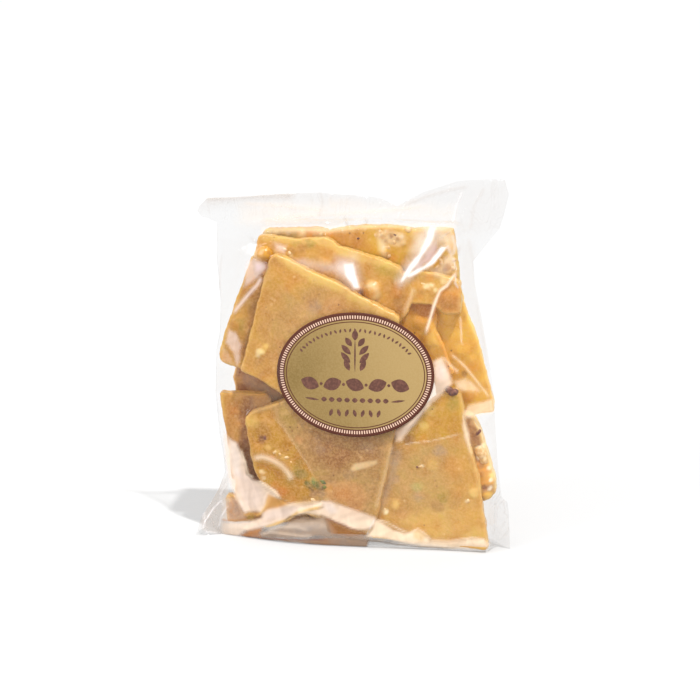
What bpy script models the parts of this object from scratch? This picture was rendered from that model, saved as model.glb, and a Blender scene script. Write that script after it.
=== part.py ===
# Sealed clear bag of almond brittle, standing on its base, with an oval label on its front.
# The bag faces -Y. Its origin is on the floor, in the middle of its box.
import math

import bmesh
import bpy
import numpy as np
from mathutils import Matrix, Vector

MM = 0.001

# The film, seen from the front: how far it reaches to each side at each height, in mm
BODY_BOTTOM = -2.0
BODY_TOP = 146.0
EDGE_HEIGHTS = (-2, 1, 7, 14, 19, 21, 29, 36, 48, 60, 68, 87, 96, 110, 120, 131, 138, 146)
LEFT_EDGE = (-70, -72.8, -71.3, -66.8, -64, -63, -60, -60.5, -62.3, -63.2, -63.8, -63, -61.3, -60.8, -61.5,
             -62.5, -62.2, -62)
RIGHT_EDGE = (72.8, 72.7, 72.3, 71.8, 71, 68.2, 66.8, 66.3, 65.3, 64.4, 63.5, 61, 59.3, 56.5, 54.4, 53.4, 58.8, 65)

# The flared fin above the contents: its sides by share of its height, and its top outline, in mm
FIN_SHARES = (0, 0.3, 0.7, 1)
FIN_LEFT = (-62, -69, -71, -70)
FIN_RIGHT = (65, 67, 69, 67)
FIN_OUTLINE_X = (-70, -66, -42, -15, 4, 12, 19, 30, 46, 68)
FIN_OUTLINE_Z = (153.5, 157.5, 159.3, 160.8, 159, 157.6, 154.6, 161, 166.6, 168.6)

FILM_HALF = 0.5
PILLOW_HALF = 10.0
BASE_ROUNDING = 2.5
ROUNDING_HEIGHT = 5.0
RELIEF = 0.6

# Broken pieces of brittle: the depth of the front face at its middle, how that depth changes
# to the right (swing) and upwards (lean), and the corners as (x, z), all in mm
THICKNESS = 6.0
PIECES = {
    "upper_left": (-11.8, -0.02, 0.04, ((-37, 133), (21.5, 106.5), (15.5, 76), (-27.5, 70), (-50, 81))),
    "lower_left": (-12.3, 0.02, 0.02, ((-48.5, 59), (-31, 67.5), (21, 66), (20, 48), (11, 10), (3.5, 6.5),
                                       (-41, 27), (-47, 44))),
    "lower_right": (-10.5, -0.04, 0.03, ((18.5, 44), (33.5, 70), (45.5, 73.5), (51, 66), (63.3, -0.8), (9.5, 2.5))),
    "upper_middle": (-4.3, 0.0, 0.06, ((-43.5, 139.5), (-12, 140), (22, 128), (28.5, 117), (20.5, 104), (-23.5, 93),
                                       (-45, 131))),
    "right_middle": (-5.5, 0.03, 0.05, ((22.5, 105), (37, 102), (43, 84.5), (48, 79.5), (40, 74.5), (18.5, 78))),
    "shoulder": (-6.5, 0.0, 0.15, ((29, 121.5), (47.5, 118.5), (48, 107.5), (29.5, 108.5))),
    "far_right": (0.9, 0.0, 0.0, ((36, 119), (47.5, 121), (57, 93), (60, 80.5), (63.5, 65), (51, 63), (38, 66),
                                  (34.5, 100))),
    "left_edge": (-3.5, 0.0, 0.03, ((-47.5, 131), (-30, 97), (-31, 78), (-52, 79.5), (-62, 80.5))),
    "low_left_edge": (-4.5, 0.0, 0.0, ((-60.5, 66.5), (-40, 68), (-20, 40), (-40, 26.5), (-56, 28))),
    "bottom_left": (-3.5, 0.0, 0.0, ((-60, 20), (-42, 24), (-24, 20), (-20, 6), (-60, 5.5))),
    "bottom_middle": (-4.5, 0.0, 0.0, ((-18, 36), (9, 36), (10, 1.5), (-12, 1.5))),
    "top_right": (3.3, 0.0, -0.02, ((-14, 143), (7.5, 145.5), (33, 145), (45, 144), (46.5, 126), (33, 122),
                                    (30, 104), (-11, 98))),
    "top_left": (3.5, 0.0, -0.02, ((-40.5, 142.5), (-15.5, 143), (-13, 100), (-34, 95), (-43, 108))),
    "left_back": (4.5, 0.02, 0.0, ((-57, 80), (-30, 87), (-8, 93), (-1, 82), (3, 52), (-30, 42), (-54, 47))),
    "right_back": (3.0, -0.02, 0.01, ((2, 95), (32, 98), (33, 60), (46, 57), (52, 40), (8, 49))),
    "low_left_back": (4.0, 0.0, 0.0, ((-56, 42), (-32, 36), (4, 45), (10, 22), (3, 3), (-57, 4))),
    "low_right_back": (4.4, 0.02, 0.0, ((12, 43), (40, 34), (55, 36), (60, 4), (9, 3))),
}

# One piece stands edge on at the right: its left and right side by height, and its depth, in mm
EDGE_PIECE = ((52.5, 60), (57, 61.5), (61.5, 44), (65, 28), (59.5, 21), (56, 40))
EDGE_PIECE_DEPTH = (-6.0, 3.4)

# Oval paper label, stuck to the film, with a slight bend round the pack
LABEL_CENTRE = (2.1, -13.4, 80.4)
LABEL_HALF_WIDTH = 35.6
LABEL_HALF_HEIGHT = 28.7
LABEL_THICKNESS = 0.4
LABEL_LEAN = 0.02
LABEL_BEND_RADIUS = 400.0
LABEL_GAP = 0.35
LABEL_RINGS = 6
LABEL_STEPS = 56

# Shift that puts the middle of the base on the origin, in mm
CENTRING = (0.0, 1.83, 2.0)

# Fineness of the film
COLUMNS = 30
BODY_ROWS = 32
FIN_ROWS = 5
SAMPLE_STEP = 2.0
STRETCH_PASSES = 500


def clear_scene():
    for found in list(bpy.data.objects):
        bpy.data.objects.remove(found)


def new_collection(name, hidden=False):
    made = bpy.data.collections.new(name)
    made.hide_render = hidden
    bpy.context.scene.collection.children.link(made)
    return made


def new_material(name, colour, roughness):
    made = bpy.data.materials.new(name)
    made.use_nodes = True
    shader = made.node_tree.nodes["Principled BSDF"]
    shader.inputs["Base Color"].default_value = (*colour, 1.0)
    shader.inputs["Roughness"].default_value = roughness
    shader.inputs["Metallic"].default_value = 0.0
    return made


def middle(corners):
    xs, zs = zip(*corners)
    return sum(xs) / len(xs), sum(zs) / len(zs)


def inside(corners, x, z):
    # True where a grid point lies inside the outline, by counting the sides that it crosses
    found = np.zeros(x.shape, bool)
    for (x1, z1), (x2, z2) in zip(corners, corners[1:] + corners[:1]):
        if z1 != z2:
            crosses = ((z1 > z) != (z2 > z)) & (x < (x2 - x1) * (z - z1) / (z2 - z1) + x1)
            found ^= crosses
    return found


def label_depth(x, z):
    # Depth of the film under the label at a point
    across = x - LABEL_CENTRE[0]
    up = z - LABEL_CENTRE[2]
    return LABEL_CENTRE[1] + LABEL_LEAN * up + across**2 / (2 * LABEL_BEND_RADIUS)


def under_label(x, z):
    across = (x - LABEL_CENTRE[0]) / LABEL_HALF_WIDTH
    up = (z - LABEL_CENTRE[2]) / LABEL_HALF_HEIGHT
    return across**2 + up**2 < 1.05


def pillow(x, z):
    # Slack form of the filled bag: fullest in its lower middle, thin at the sides and the top
    left = np.interp(z, EDGE_HEIGHTS, LEFT_EDGE)
    right = np.interp(z, EDGE_HEIGHTS, RIGHT_EDGE)
    half_width = np.minimum((right - left) / 2, 62)
    across = np.clip(np.abs(x - (left + right) / 2) / half_width, 0, 1)
    up = np.clip(z / BODY_TOP, 0, 1)
    return PILLOW_HALF * (1 - across**3) * (1 - up**4)


def stretch(lowest, held):
    # Film stretched over what lies under it, fixed where held
    height = lowest.copy()
    for _ in range(STRETCH_PASSES):
        wide = np.pad(height, 1, mode="edge")
        mean = (wide[2:, 1:-1] + wide[:-2, 1:-1] + wide[1:-1, 2:] + wide[1:-1, :-2]) / 4
        height = np.where(held, lowest, np.maximum(lowest, mean))
    return height


def film_heights():
    # How far the film stands in front of and behind the bag's middle plane, on a regular grid
    xs = np.arange(-74, 74 + SAMPLE_STEP, SAMPLE_STEP)
    zs = np.arange(0, BODY_TOP + 6 + SAMPLE_STEP, SAMPLE_STEP)
    x, z = np.meshgrid(xs, zs, indexing="ij")
    front = np.maximum(FILM_HALF, pillow(x, z))
    back = front.copy()
    for depth, swing, lean, corners in PIECES.values():
        cx, cz = middle(corners)
        covered = inside(corners, x, z)
        face = depth + swing * (x - cx) + lean * (z - cz)
        front = np.where(covered, np.maximum(front, -face), front)
        back = np.where(covered, np.maximum(back, face + THICKNESS), back)
    beyond = (
        (x < np.interp(z, EDGE_HEIGHTS, LEFT_EDGE) - 3)
        | (x > np.interp(z, EDGE_HEIGHTS, RIGHT_EDGE) + 3)
        | (z > BODY_TOP + 2)
    )
    ears = (z < 22) & ((x < -64) | (x > 66))
    held = beyond | ears
    front[held] = back[held] = FILM_HALF
    plate = under_label(x, z) & ~held
    front = np.where(plate, RELIEF - label_depth(x, z), front)
    return xs, zs, stretch(front, held), stretch(back, held)


def sampled(xs, zs, heights, x, z):
    # Height at any point, between the grid's four nearest points
    i = min(max((x - xs[0]) / SAMPLE_STEP, 0), len(xs) - 1.001)
    k = min(max((z - zs[0]) / SAMPLE_STEP, 0), len(zs) - 1.001)
    i0, k0 = int(i), int(k)
    a, b = i - i0, k - k0
    low = heights[i0, k0] * (1 - a) + heights[i0 + 1, k0] * a
    high = heights[i0, k0 + 1] * (1 - a) + heights[i0 + 1, k0 + 1] * a
    return low * (1 - b) + high * b


def sway(x, z):
    # The thin fin and ears bend gently out of the middle plane
    above = max(0.0, z - BODY_TOP + 8)
    fin = 0.16 * above * math.sin(x / 21 + 0.6) + 0.05 * above * math.sin(x / 7)
    out = max(0.0, abs(x) - 62)
    ear = -0.5 * out * math.cos(z / 14) if z < 22 else 0.0
    return fin + ear


def make_film(collection):
    # A flat grid, thickened to two skins, whose points are then moved to the bag's form
    xs, zs, front, back = film_heights()
    rows = BODY_ROWS + FIN_ROWS
    shaped = bmesh.new()
    bmesh.ops.create_grid(shaped, x_segments=COLUMNS, y_segments=rows, size=1.0)
    lifted = bmesh.ops.extrude_face_region(shaped, geom=shaped.faces[:])
    back_points = {v for v in lifted["geom"] if isinstance(v, bmesh.types.BMVert)}
    for point in shaped.verts:
        across = (point.co.x + 1) / 2
        row = (point.co.y + 1) / 2 * rows
        if row <= BODY_ROWS:
            share = row / BODY_ROWS
            z = BODY_BOTTOM + (BODY_TOP - BODY_BOTTOM) * (0.35 * share**2 + 0.65 * share)
            left = np.interp(z, EDGE_HEIGHTS, LEFT_EDGE)
            right = np.interp(z, EDGE_HEIGHTS, RIGHT_EDGE)
            x = left + across * (right - left)
        else:
            share = (row - BODY_ROWS) / FIN_ROWS
            left = np.interp(share, FIN_SHARES, FIN_LEFT)
            right = np.interp(share, FIN_SHARES, FIN_RIGHT)
            x = left + across * (right - left)
            top = np.interp(x, FIN_OUTLINE_X, FIN_OUTLINE_Z)
            z = BODY_TOP + share * (top - BODY_TOP)
        side = 1 if point in back_points else -1
        height = sampled(xs, zs, back if side > 0 else front, x, z)
        drop = RELIEF + BASE_ROUNDING * max(0.0, 1 - (z - BODY_BOTTOM) / ROUNDING_HEIGHT) ** 2
        height -= drop * min(1.0, (height - FILM_HALF) / 5)
        point.co = (x * MM, (sway(x, z) + side * height) * MM, z * MM)
    bmesh.ops.recalc_face_normals(shaped, faces=shaped.faces)
    mesh = bpy.data.meshes.new("bag")
    shaped.to_mesh(mesh)
    shaped.free()
    made = bpy.data.objects.new("bag", mesh)
    collection.objects.link(made)
    return made


def outline_solid(name, corners, thickness, place, collection):
    # A flat outline with a small chamfer, as a mesh that can be joined
    chamfer = 0.5
    curve = bpy.data.curves.new(name, "CURVE")
    curve.dimensions = "2D"
    curve.fill_mode = "BOTH"
    curve.extrude = (thickness / 2 - chamfer) * MM
    curve.bevel_depth = chamfer * MM
    curve.bevel_resolution = 0
    curve.offset = -chamfer * MM
    spline = curve.splines.new("POLY")
    spline.points.add(len(corners) - 1)
    spline.use_cyclic_u = True
    for point, (x, z) in zip(spline.points, corners):
        point.co = (x * MM, z * MM, 0, 1)
    drawn = bpy.data.objects.new(name + "_outline", curve)
    collection.objects.link(drawn)
    drawn.matrix_world = place
    bpy.context.view_layer.update()
    graph = bpy.context.evaluated_depsgraph_get()
    mesh = bpy.data.meshes.new_from_object(drawn.evaluated_get(graph))
    welded = bmesh.new()
    welded.from_mesh(mesh)
    bmesh.ops.remove_doubles(welded, verts=welded.verts, dist=0.00001)
    bmesh.ops.recalc_face_normals(welded, faces=welded.faces)
    welded.to_mesh(mesh)
    welded.free()
    made = bpy.data.objects.new(name, mesh)
    made.matrix_world = place
    bpy.data.objects.remove(drawn)
    collection.objects.link(made)
    return made


def make_pieces(collection):
    for name, (depth, swing, lean, corners) in PIECES.items():
        cx, cz = middle(corners)
        local = tuple((x - cx, z - cz) for x, z in corners)
        turn = Matrix.Rotation(math.atan(swing), 4, "Z") @ Matrix.Rotation(math.pi / 2 - math.atan(lean), 4, "X")
        place = Matrix.Translation((cx * MM, (depth + THICKNESS / 2) * MM, cz * MM)) @ turn
        outline_solid(name, local, THICKNESS, place, collection)
    near, far = EDGE_PIECE_DEPTH
    upright = Matrix.Translation((0, (near + far) / 2 * MM, 0)) @ Matrix.Rotation(math.pi / 2, 4, "X")
    outline_solid("edge_piece", EDGE_PIECE, far - near, upright, collection)


def join_pieces(bag, pieces):
    # Fuses the pieces that press against the film into the bag, as relief
    union = bag.modifiers.new("pieces", "BOOLEAN")
    union.operation = "UNION"
    union.operand_type = "COLLECTION"
    union.collection = pieces
    bpy.context.view_layer.update()
    graph = bpy.context.evaluated_depsgraph_get()
    joined = bpy.data.meshes.new_from_object(bag.evaluated_get(graph))
    bag.modifiers.clear()
    bag.data = joined
    for piece in list(pieces.objects):
        bpy.data.objects.remove(piece)
    bpy.data.collections.remove(pieces)


def make_label(collection):
    # A disc spun from one radius, stretched to an oval and bent to the pack's front
    shaped = bmesh.new()
    radius = [shaped.verts.new((ring / LABEL_RINGS, 0, 0)) for ring in range(LABEL_RINGS + 1)]
    edges = [shaped.edges.new(pair) for pair in zip(radius, radius[1:])]
    bmesh.ops.spin(
        shaped, geom=radius + edges, cent=(0, 0, 0), axis=(0, 1, 0), dvec=(0, 0, 0),
        angle=2 * math.pi, steps=LABEL_STEPS, use_merge=True,
    )
    bmesh.ops.remove_doubles(shaped, verts=shaped.verts, dist=0.0001)
    for point in shaped.verts:
        x = LABEL_CENTRE[0] + point.co.x * LABEL_HALF_WIDTH
        z = LABEL_CENTRE[2] + point.co.z * LABEL_HALF_HEIGHT
        point.co = (x * MM, (label_depth(x, z) - LABEL_GAP) * MM, z * MM)
    bmesh.ops.recalc_face_normals(shaped, faces=shaped.faces)
    mesh = bpy.data.meshes.new("label")
    shaped.to_mesh(mesh)
    shaped.free()
    label = bpy.data.objects.new("label", mesh)
    collection.objects.link(label)
    paper = label.modifiers.new("paper", "SOLIDIFY")
    paper.thickness = LABEL_THICKNESS * MM
    paper.offset = 1.0
    return label


def centre(made):
    shift = Vector(CENTRING) * MM
    for thing in made:
        thing.data.transform(Matrix.Translation(shift))


def main():
    clear_scene()
    pack = new_collection("almond_brittle_bag")
    pieces = new_collection("pieces")
    bag = make_film(pack)
    make_pieces(pieces)
    join_pieces(bag, pieces)
    bag.data.materials.clear()
    bag.data.materials.append(new_material("amber_brittle_in_film", (0.72, 0.44, 0.15), 0.35))
    label = make_label(pack)
    label.data.materials.append(new_material("gold_paper", (0.48, 0.31, 0.12), 0.5))
    centre((bag, label))


main()
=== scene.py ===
import math
import random

import bmesh
import bpy
import numpy as np
from mathutils import Matrix, Vector, noise


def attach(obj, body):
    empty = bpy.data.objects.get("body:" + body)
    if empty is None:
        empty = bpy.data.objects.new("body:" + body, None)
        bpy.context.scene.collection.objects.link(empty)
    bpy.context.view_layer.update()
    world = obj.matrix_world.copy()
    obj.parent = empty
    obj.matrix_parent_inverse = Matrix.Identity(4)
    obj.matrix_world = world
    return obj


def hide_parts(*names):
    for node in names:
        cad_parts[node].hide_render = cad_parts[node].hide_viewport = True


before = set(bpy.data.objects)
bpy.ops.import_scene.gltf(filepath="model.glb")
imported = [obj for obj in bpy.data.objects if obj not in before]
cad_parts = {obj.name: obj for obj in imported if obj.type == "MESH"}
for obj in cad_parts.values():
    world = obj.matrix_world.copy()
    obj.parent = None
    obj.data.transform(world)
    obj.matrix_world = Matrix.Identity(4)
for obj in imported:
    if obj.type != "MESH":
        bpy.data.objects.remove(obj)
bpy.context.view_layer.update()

mm = 0.001
centring = Vector((0.0, 1.83, 2.0))  # the solids are moved by this, so that their box is centred


def at(x, y, z):
    return (Vector((x, y, z)) + centring) * mm


def newObject(name, mesh, finish=None, smooth=True):
    made = bpy.data.objects.new(name, mesh)
    bpy.context.scene.collection.objects.link(made)
    if finish is not None:
        mesh.materials.clear()
        mesh.materials.append(finish)
    if smooth:
        mesh.polygons.foreach_set("use_smooth", [True] * len(mesh.polygons))
    return made


def intoPack(made, slotName, *stoodFor):
    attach(made, "root")
    if stoodFor:
        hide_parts(*stoodFor)
    return made


def pointsOf(mesh):
    found = np.empty(len(mesh.vertices) * 3, np.float32)
    mesh.vertices.foreach_get("co", found)
    return found.reshape(-1, 3).astype(float)


def putPoints(mesh, points):
    mesh.vertices.foreach_set("co", points.astype(np.float32).ravel())
    mesh.update()


def paintPoints(mesh, name, values):
    # a number or a colour at each point, for the finishes to read
    if values.ndim == 1:
        mesh.attributes.new(name, "FLOAT", "POINT").data.foreach_set("value", values.astype(np.float32))
    else:
        colours = np.c_[values, np.ones(len(values))].astype(np.float32)
        mesh.color_attributes.new(name, "FLOAT_COLOR", "POINT").data.foreach_set("color", colours.ravel())


def closeShape(shape, name):
    mesh = bpy.data.meshes.new(name)
    shape.to_mesh(mesh)
    shape.free()
    return mesh


def toMetres(shape):
    bmesh.ops.translate(shape, verts=shape.verts, vec=centring)
    bmesh.ops.scale(shape, verts=shape.verts, vec=(mm, mm, mm))


def addedVerts(grown):
    return [v for v in grown["geom"] if isinstance(v, bmesh.types.BMVert)]


def smoothStep(low, high, value):
    share = np.clip((value - low) / (high - low), 0, 1)
    return share * share * (3 - 2 * share)


def wave(points, size, seed):
    # soft noise at each point, about -1 to 1, with bumps of about that size in mm
    offset = Vector((seed * 7.3, seed * 3.1, seed * 5.7))
    return np.array([noise.noise(Vector(p) / size + offset) for p in points])


def fromLine(x, z, line):
    # distance in mm from an open line, and how far along it the nearest point is
    nearest = np.full(np.shape(x), 1e9)
    along = np.zeros(np.shape(x))
    steps = len(line) - 1
    for i, ((x1, z1), (x2, z2)) in enumerate(zip(line, line[1:])):
        length = max(math.hypot(x2 - x1, z2 - z1), 1e-6)
        share = np.clip(((x - x1) * (x2 - x1) + (z - z1) * (z2 - z1)) / length**2, 0, 1)
        away = np.hypot(x - x1 - share * (x2 - x1), z - z1 - share * (z2 - z1))
        along = np.where(away < nearest, (i + share) / steps, along)
        nearest = np.minimum(away, nearest)
    return nearest, along


def isInside(x, z, corners):
    found = np.zeros(np.shape(x), bool)
    for (x1, z1), (x2, z2) in zip(corners, corners[1:] + corners[:1]):
        if z1 != z2:
            found ^= ((z1 > z) != (z2 > z)) & (x < (x2 - x1) * (z - z1) / (z2 - z1) + x1)
    return found


def insideBy(x, z, corners):
    # distance in mm to the outline, positive inside it
    away, _ = fromLine(x, z, corners + corners[:1])
    return np.where(isInside(x, z, corners), away, -away)


class Wire:
    # a socket that makes Math nodes when it is used in a sum

    def __init__(self, finish, socket):
        self.finish, self.socket = finish, socket

    def __add__(self, other):
        return self.finish.maths("ADD", self, other)

    def __radd__(self, other):
        return self.finish.maths("ADD", other, self)

    def __sub__(self, other):
        return self.finish.maths("SUBTRACT", self, other)

    def __rsub__(self, other):
        return self.finish.maths("SUBTRACT", other, self)

    def __mul__(self, other):
        return self.finish.maths("MULTIPLY", self, other)

    def __rmul__(self, other):
        return self.finish.maths("MULTIPLY", other, self)

    def __truediv__(self, other):
        return self.finish.maths("DIVIDE", self, other)


class Finish:
    # a material, and the one way to put a node into it

    def __init__(self, name):
        self.material = bpy.data.materials.new(name)
        self.material.use_nodes = True
        self.tree = self.material.node_tree
        self.tree.nodes.clear()

    def add(self, kind, settings=None, sockets=None, out=0):
        node = self.tree.nodes.new(kind)
        for key, value in (settings or {}).items():
            setattr(node, key, value)
        for key, value in (sockets or {}).items():
            if isinstance(value, Wire):
                self.tree.links.new(value.socket, node.inputs[key])
            else:
                node.inputs[key].default_value = value
        return Wire(self, node.outputs[out]) if node.outputs else None

    def coords(self):
        return self.add("ShaderNodeTexCoord", out="Object")

    def noise(self, scale, detail=2.0, distortion=0.0, place=None):
        sockets = {"Vector": place or self.coords(), "Scale": scale, "Detail": detail}
        return self.add("ShaderNodeTexNoise", {}, {**sockets, "Distortion": distortion})

    def band(self, value, low, high, start=0.0, end=1.0):
        # soft step from start to end as the value goes from low to high
        sockets = {"Value": value, "From Min": low, "From Max": high, "To Min": start, "To Max": end}
        return self.add("ShaderNodeMapRange", {"interpolation_type": "SMOOTHSTEP"}, sockets)

    def stripe(self, value, low, high, soft):
        rise = self.band(value, low - soft, low + soft)
        return rise * self.band(value, high - soft, high + soft, 1.0, 0.0)

    def blend(self, share, first, second, mode="MIX"):
        sockets = {0: share, 6: first, 7: second}
        return self.add("ShaderNodeMix", {"data_type": "RGBA", "blend_type": mode}, sockets, out=2)

    def maths(self, operation, *values):
        return self.add("ShaderNodeMath", {"operation": operation}, dict(enumerate(values)))

    def axis(self, vector, which):
        return self.add("ShaderNodeSeparateXYZ", {}, {"Vector": vector}, out=which)

    def cells(self, scale):
        return self.add("ShaderNodeTexVoronoi", {}, {"Vector": self.coords(), "Scale": scale})

    def attribute(self, name, out):
        return self.add("ShaderNodeAttribute", {"attribute_name": name}, out=out)

    def principled(self, sockets):
        return self.add("ShaderNodeBsdfPrincipled", {}, sockets)

    def bump(self, height, strength, distance):
        return self.add("ShaderNodeBump", {}, {"Height": height, "Strength": strength, "Distance": distance})

    def surface(self, shader):
        self.add("ShaderNodeOutputMaterial", {}, {"Surface": shader})
        return self.material


brittleLook = {
    "roughness": 0.34,
    "gloss": 0.35,
    "subsurface": 0.15,
    "cloudScale": 110,
    "blotchScale": 260,
    "fineScale": 900,
    "fleckScale": 190.0,
    "crumbScale": 260.0,
    "bumpStrength": 0.5,
    "bumpDepth": 0.0006,  # metres
    "deeper": (0.84, 0.66, 0.42, 1),
    "yellower": (1.05, 1.15, 0.92, 1),
    "blotchTint": (0.70, 0.40, 0.16, 1),
    "grainTint": (0.74, 0.43, 0.17, 1),
    "fleckTint": (0.16, 0.06, 0.02, 1),
    "crumbTint": (0.85, 0.62, 0.32, 1),
}


def makeBrittleFinish(look):
    finish = Finish("butterBrittle")
    tone = finish.attribute("tone", "Color")
    cloud = finish.noise(look["cloudScale"], 3, 0.8)
    blotch = finish.noise(look["blotchScale"], 2, 0.4)
    fine = finish.noise(look["fineScale"], 2)
    deeper = finish.blend(1.0, tone, look["deeper"], "MULTIPLY")
    yellower = finish.blend(1.0, tone, look["yellower"], "MULTIPLY")
    base = finish.blend(finish.band(cloud, 0.32, 0.56, 0.5, 0.0), tone, deeper)
    base = finish.blend(finish.band(cloud, 0.50, 0.72, 0.0, 0.6), base, yellower)
    base = finish.blend(finish.band(blotch, 0.54, 0.68, 0.0, 0.16), base, look["blotchTint"])
    base = finish.blend(finish.band(fine, 0.40, 0.62, 0.0, 0.2), base, look["grainTint"])
    flecks = finish.band(finish.cells(look["fleckScale"]), 0.05, 0.11, 1.0, 0.0)
    flecks = flecks * finish.band(finish.noise(60), 0.5, 0.56)
    base = finish.blend(flecks * 0.75, base, look["fleckTint"])
    pale = finish.band(finish.cells(look["crumbScale"]), 0.12, 0.24, 1.0, 0.0)
    pale = pale * finish.band(finish.noise(75, 1), 0.54, 0.62)
    base = finish.blend(pale * 0.2, base, look["crumbTint"])
    relief = finish.noise(240, 3) * 0.7 + fine * 0.3
    shader = finish.principled({
        "Base Color": base,
        "Roughness": finish.band(cloud, 0.3, 0.7, look["roughness"] - 0.08, look["roughness"] + 0.12),
        "Specular IOR Level": look["gloss"],
        "Subsurface Weight": look["subsurface"],
        "Subsurface Radius": (1.0, 0.45, 0.15),
        "Subsurface Scale": 0.0025,
        "Normal": finish.bump(relief, look["bumpStrength"], look["bumpDepth"]),
    })
    return finish.surface(shader)


def makeNutFinish(name, main, second, roughness):
    finish = Finish(name)
    grain = finish.noise(700, 3)
    base = finish.blend(finish.band(grain, 0.35, 0.65), (*main, 1), (*second, 1))
    shader = finish.principled({
        "Base Color": base,
        "Roughness": roughness,
        "Subsurface Weight": 0.1,
        "Subsurface Radius": (1.0, 0.6, 0.3),
        "Subsurface Scale": 0.0015,
        "Normal": finish.bump(grain, 0.4, 0.0004),
    })
    return finish.surface(shader)


print("finishes")
brittleFinish = makeBrittleFinish(brittleLook)
almondFinish = makeNutFinish("blanchedAlmond", (0.80, 0.56, 0.30), (0.62, 0.36, 0.13), 0.45)
skinFinish = makeNutFinish("almondSkin", (0.10, 0.032, 0.025), (0.21, 0.075, 0.04), 0.5)
greenFinish = makeNutFinish("greenNut", (0.20, 0.20, 0.03), (0.07, 0.075, 0.02), 0.4)
toffeeFinish = makeNutFinish("toffeeCoat", (0.60, 0.29, 0.02), (0.46, 0.20, 0.012), 0.18)


tones = {
    "honey": (0.53, 0.262, 0.05),
    "golden": (0.61, 0.29, 0.04),
    "amber": (0.53, 0.262, 0.012),
    "pale": (0.78, 0.50, 0.14),
    "peach": (0.60, 0.30, 0.105),
    "tan": (0.46, 0.27, 0.085),
    "dusk": (0.31, 0.125, 0.035),
    "olive": (0.40, 0.262, 0.035),
    "moss": (0.17, 0.16, 0.03),
    "sage": (0.42, 0.40, 0.13),
    "bark": (0.11, 0.08, 0.035),
    "orange": (0.66, 0.25, 0.03),
    "toffee": (0.26, 0.095, 0.03),
    "brown": (0.16, 0.05, 0.018),
    "lilac": (0.40, 0.25, 0.16),
    "cream": (0.86, 0.66, 0.40),
    "snapped": (0.74, 0.46, 0.15),
}

slabLook = {
    "thickness": 6.0,
    "voxel": 0.6,  # mm
    "voxelBehind": 0.85,
    "cornerRadius": 1.2,
    "edgeRound": 0.7,
    "sharpEdge": 0.9,  # radians
    "swell": (0.4, 17),  # height and size, mm
    "ripple": (0.14, 5),
    "ragged": (0.42, 5),
    "splinter": (0.3, 1.6),
    "humps": 9,
    "humpHeight": (0.2, 0.5),
    "humpSize": (3, 6),
    "paleRim": 2.2,  # mm
    "backTones": ("honey", "honey", "golden", "tan", "peach"),
}

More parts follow.
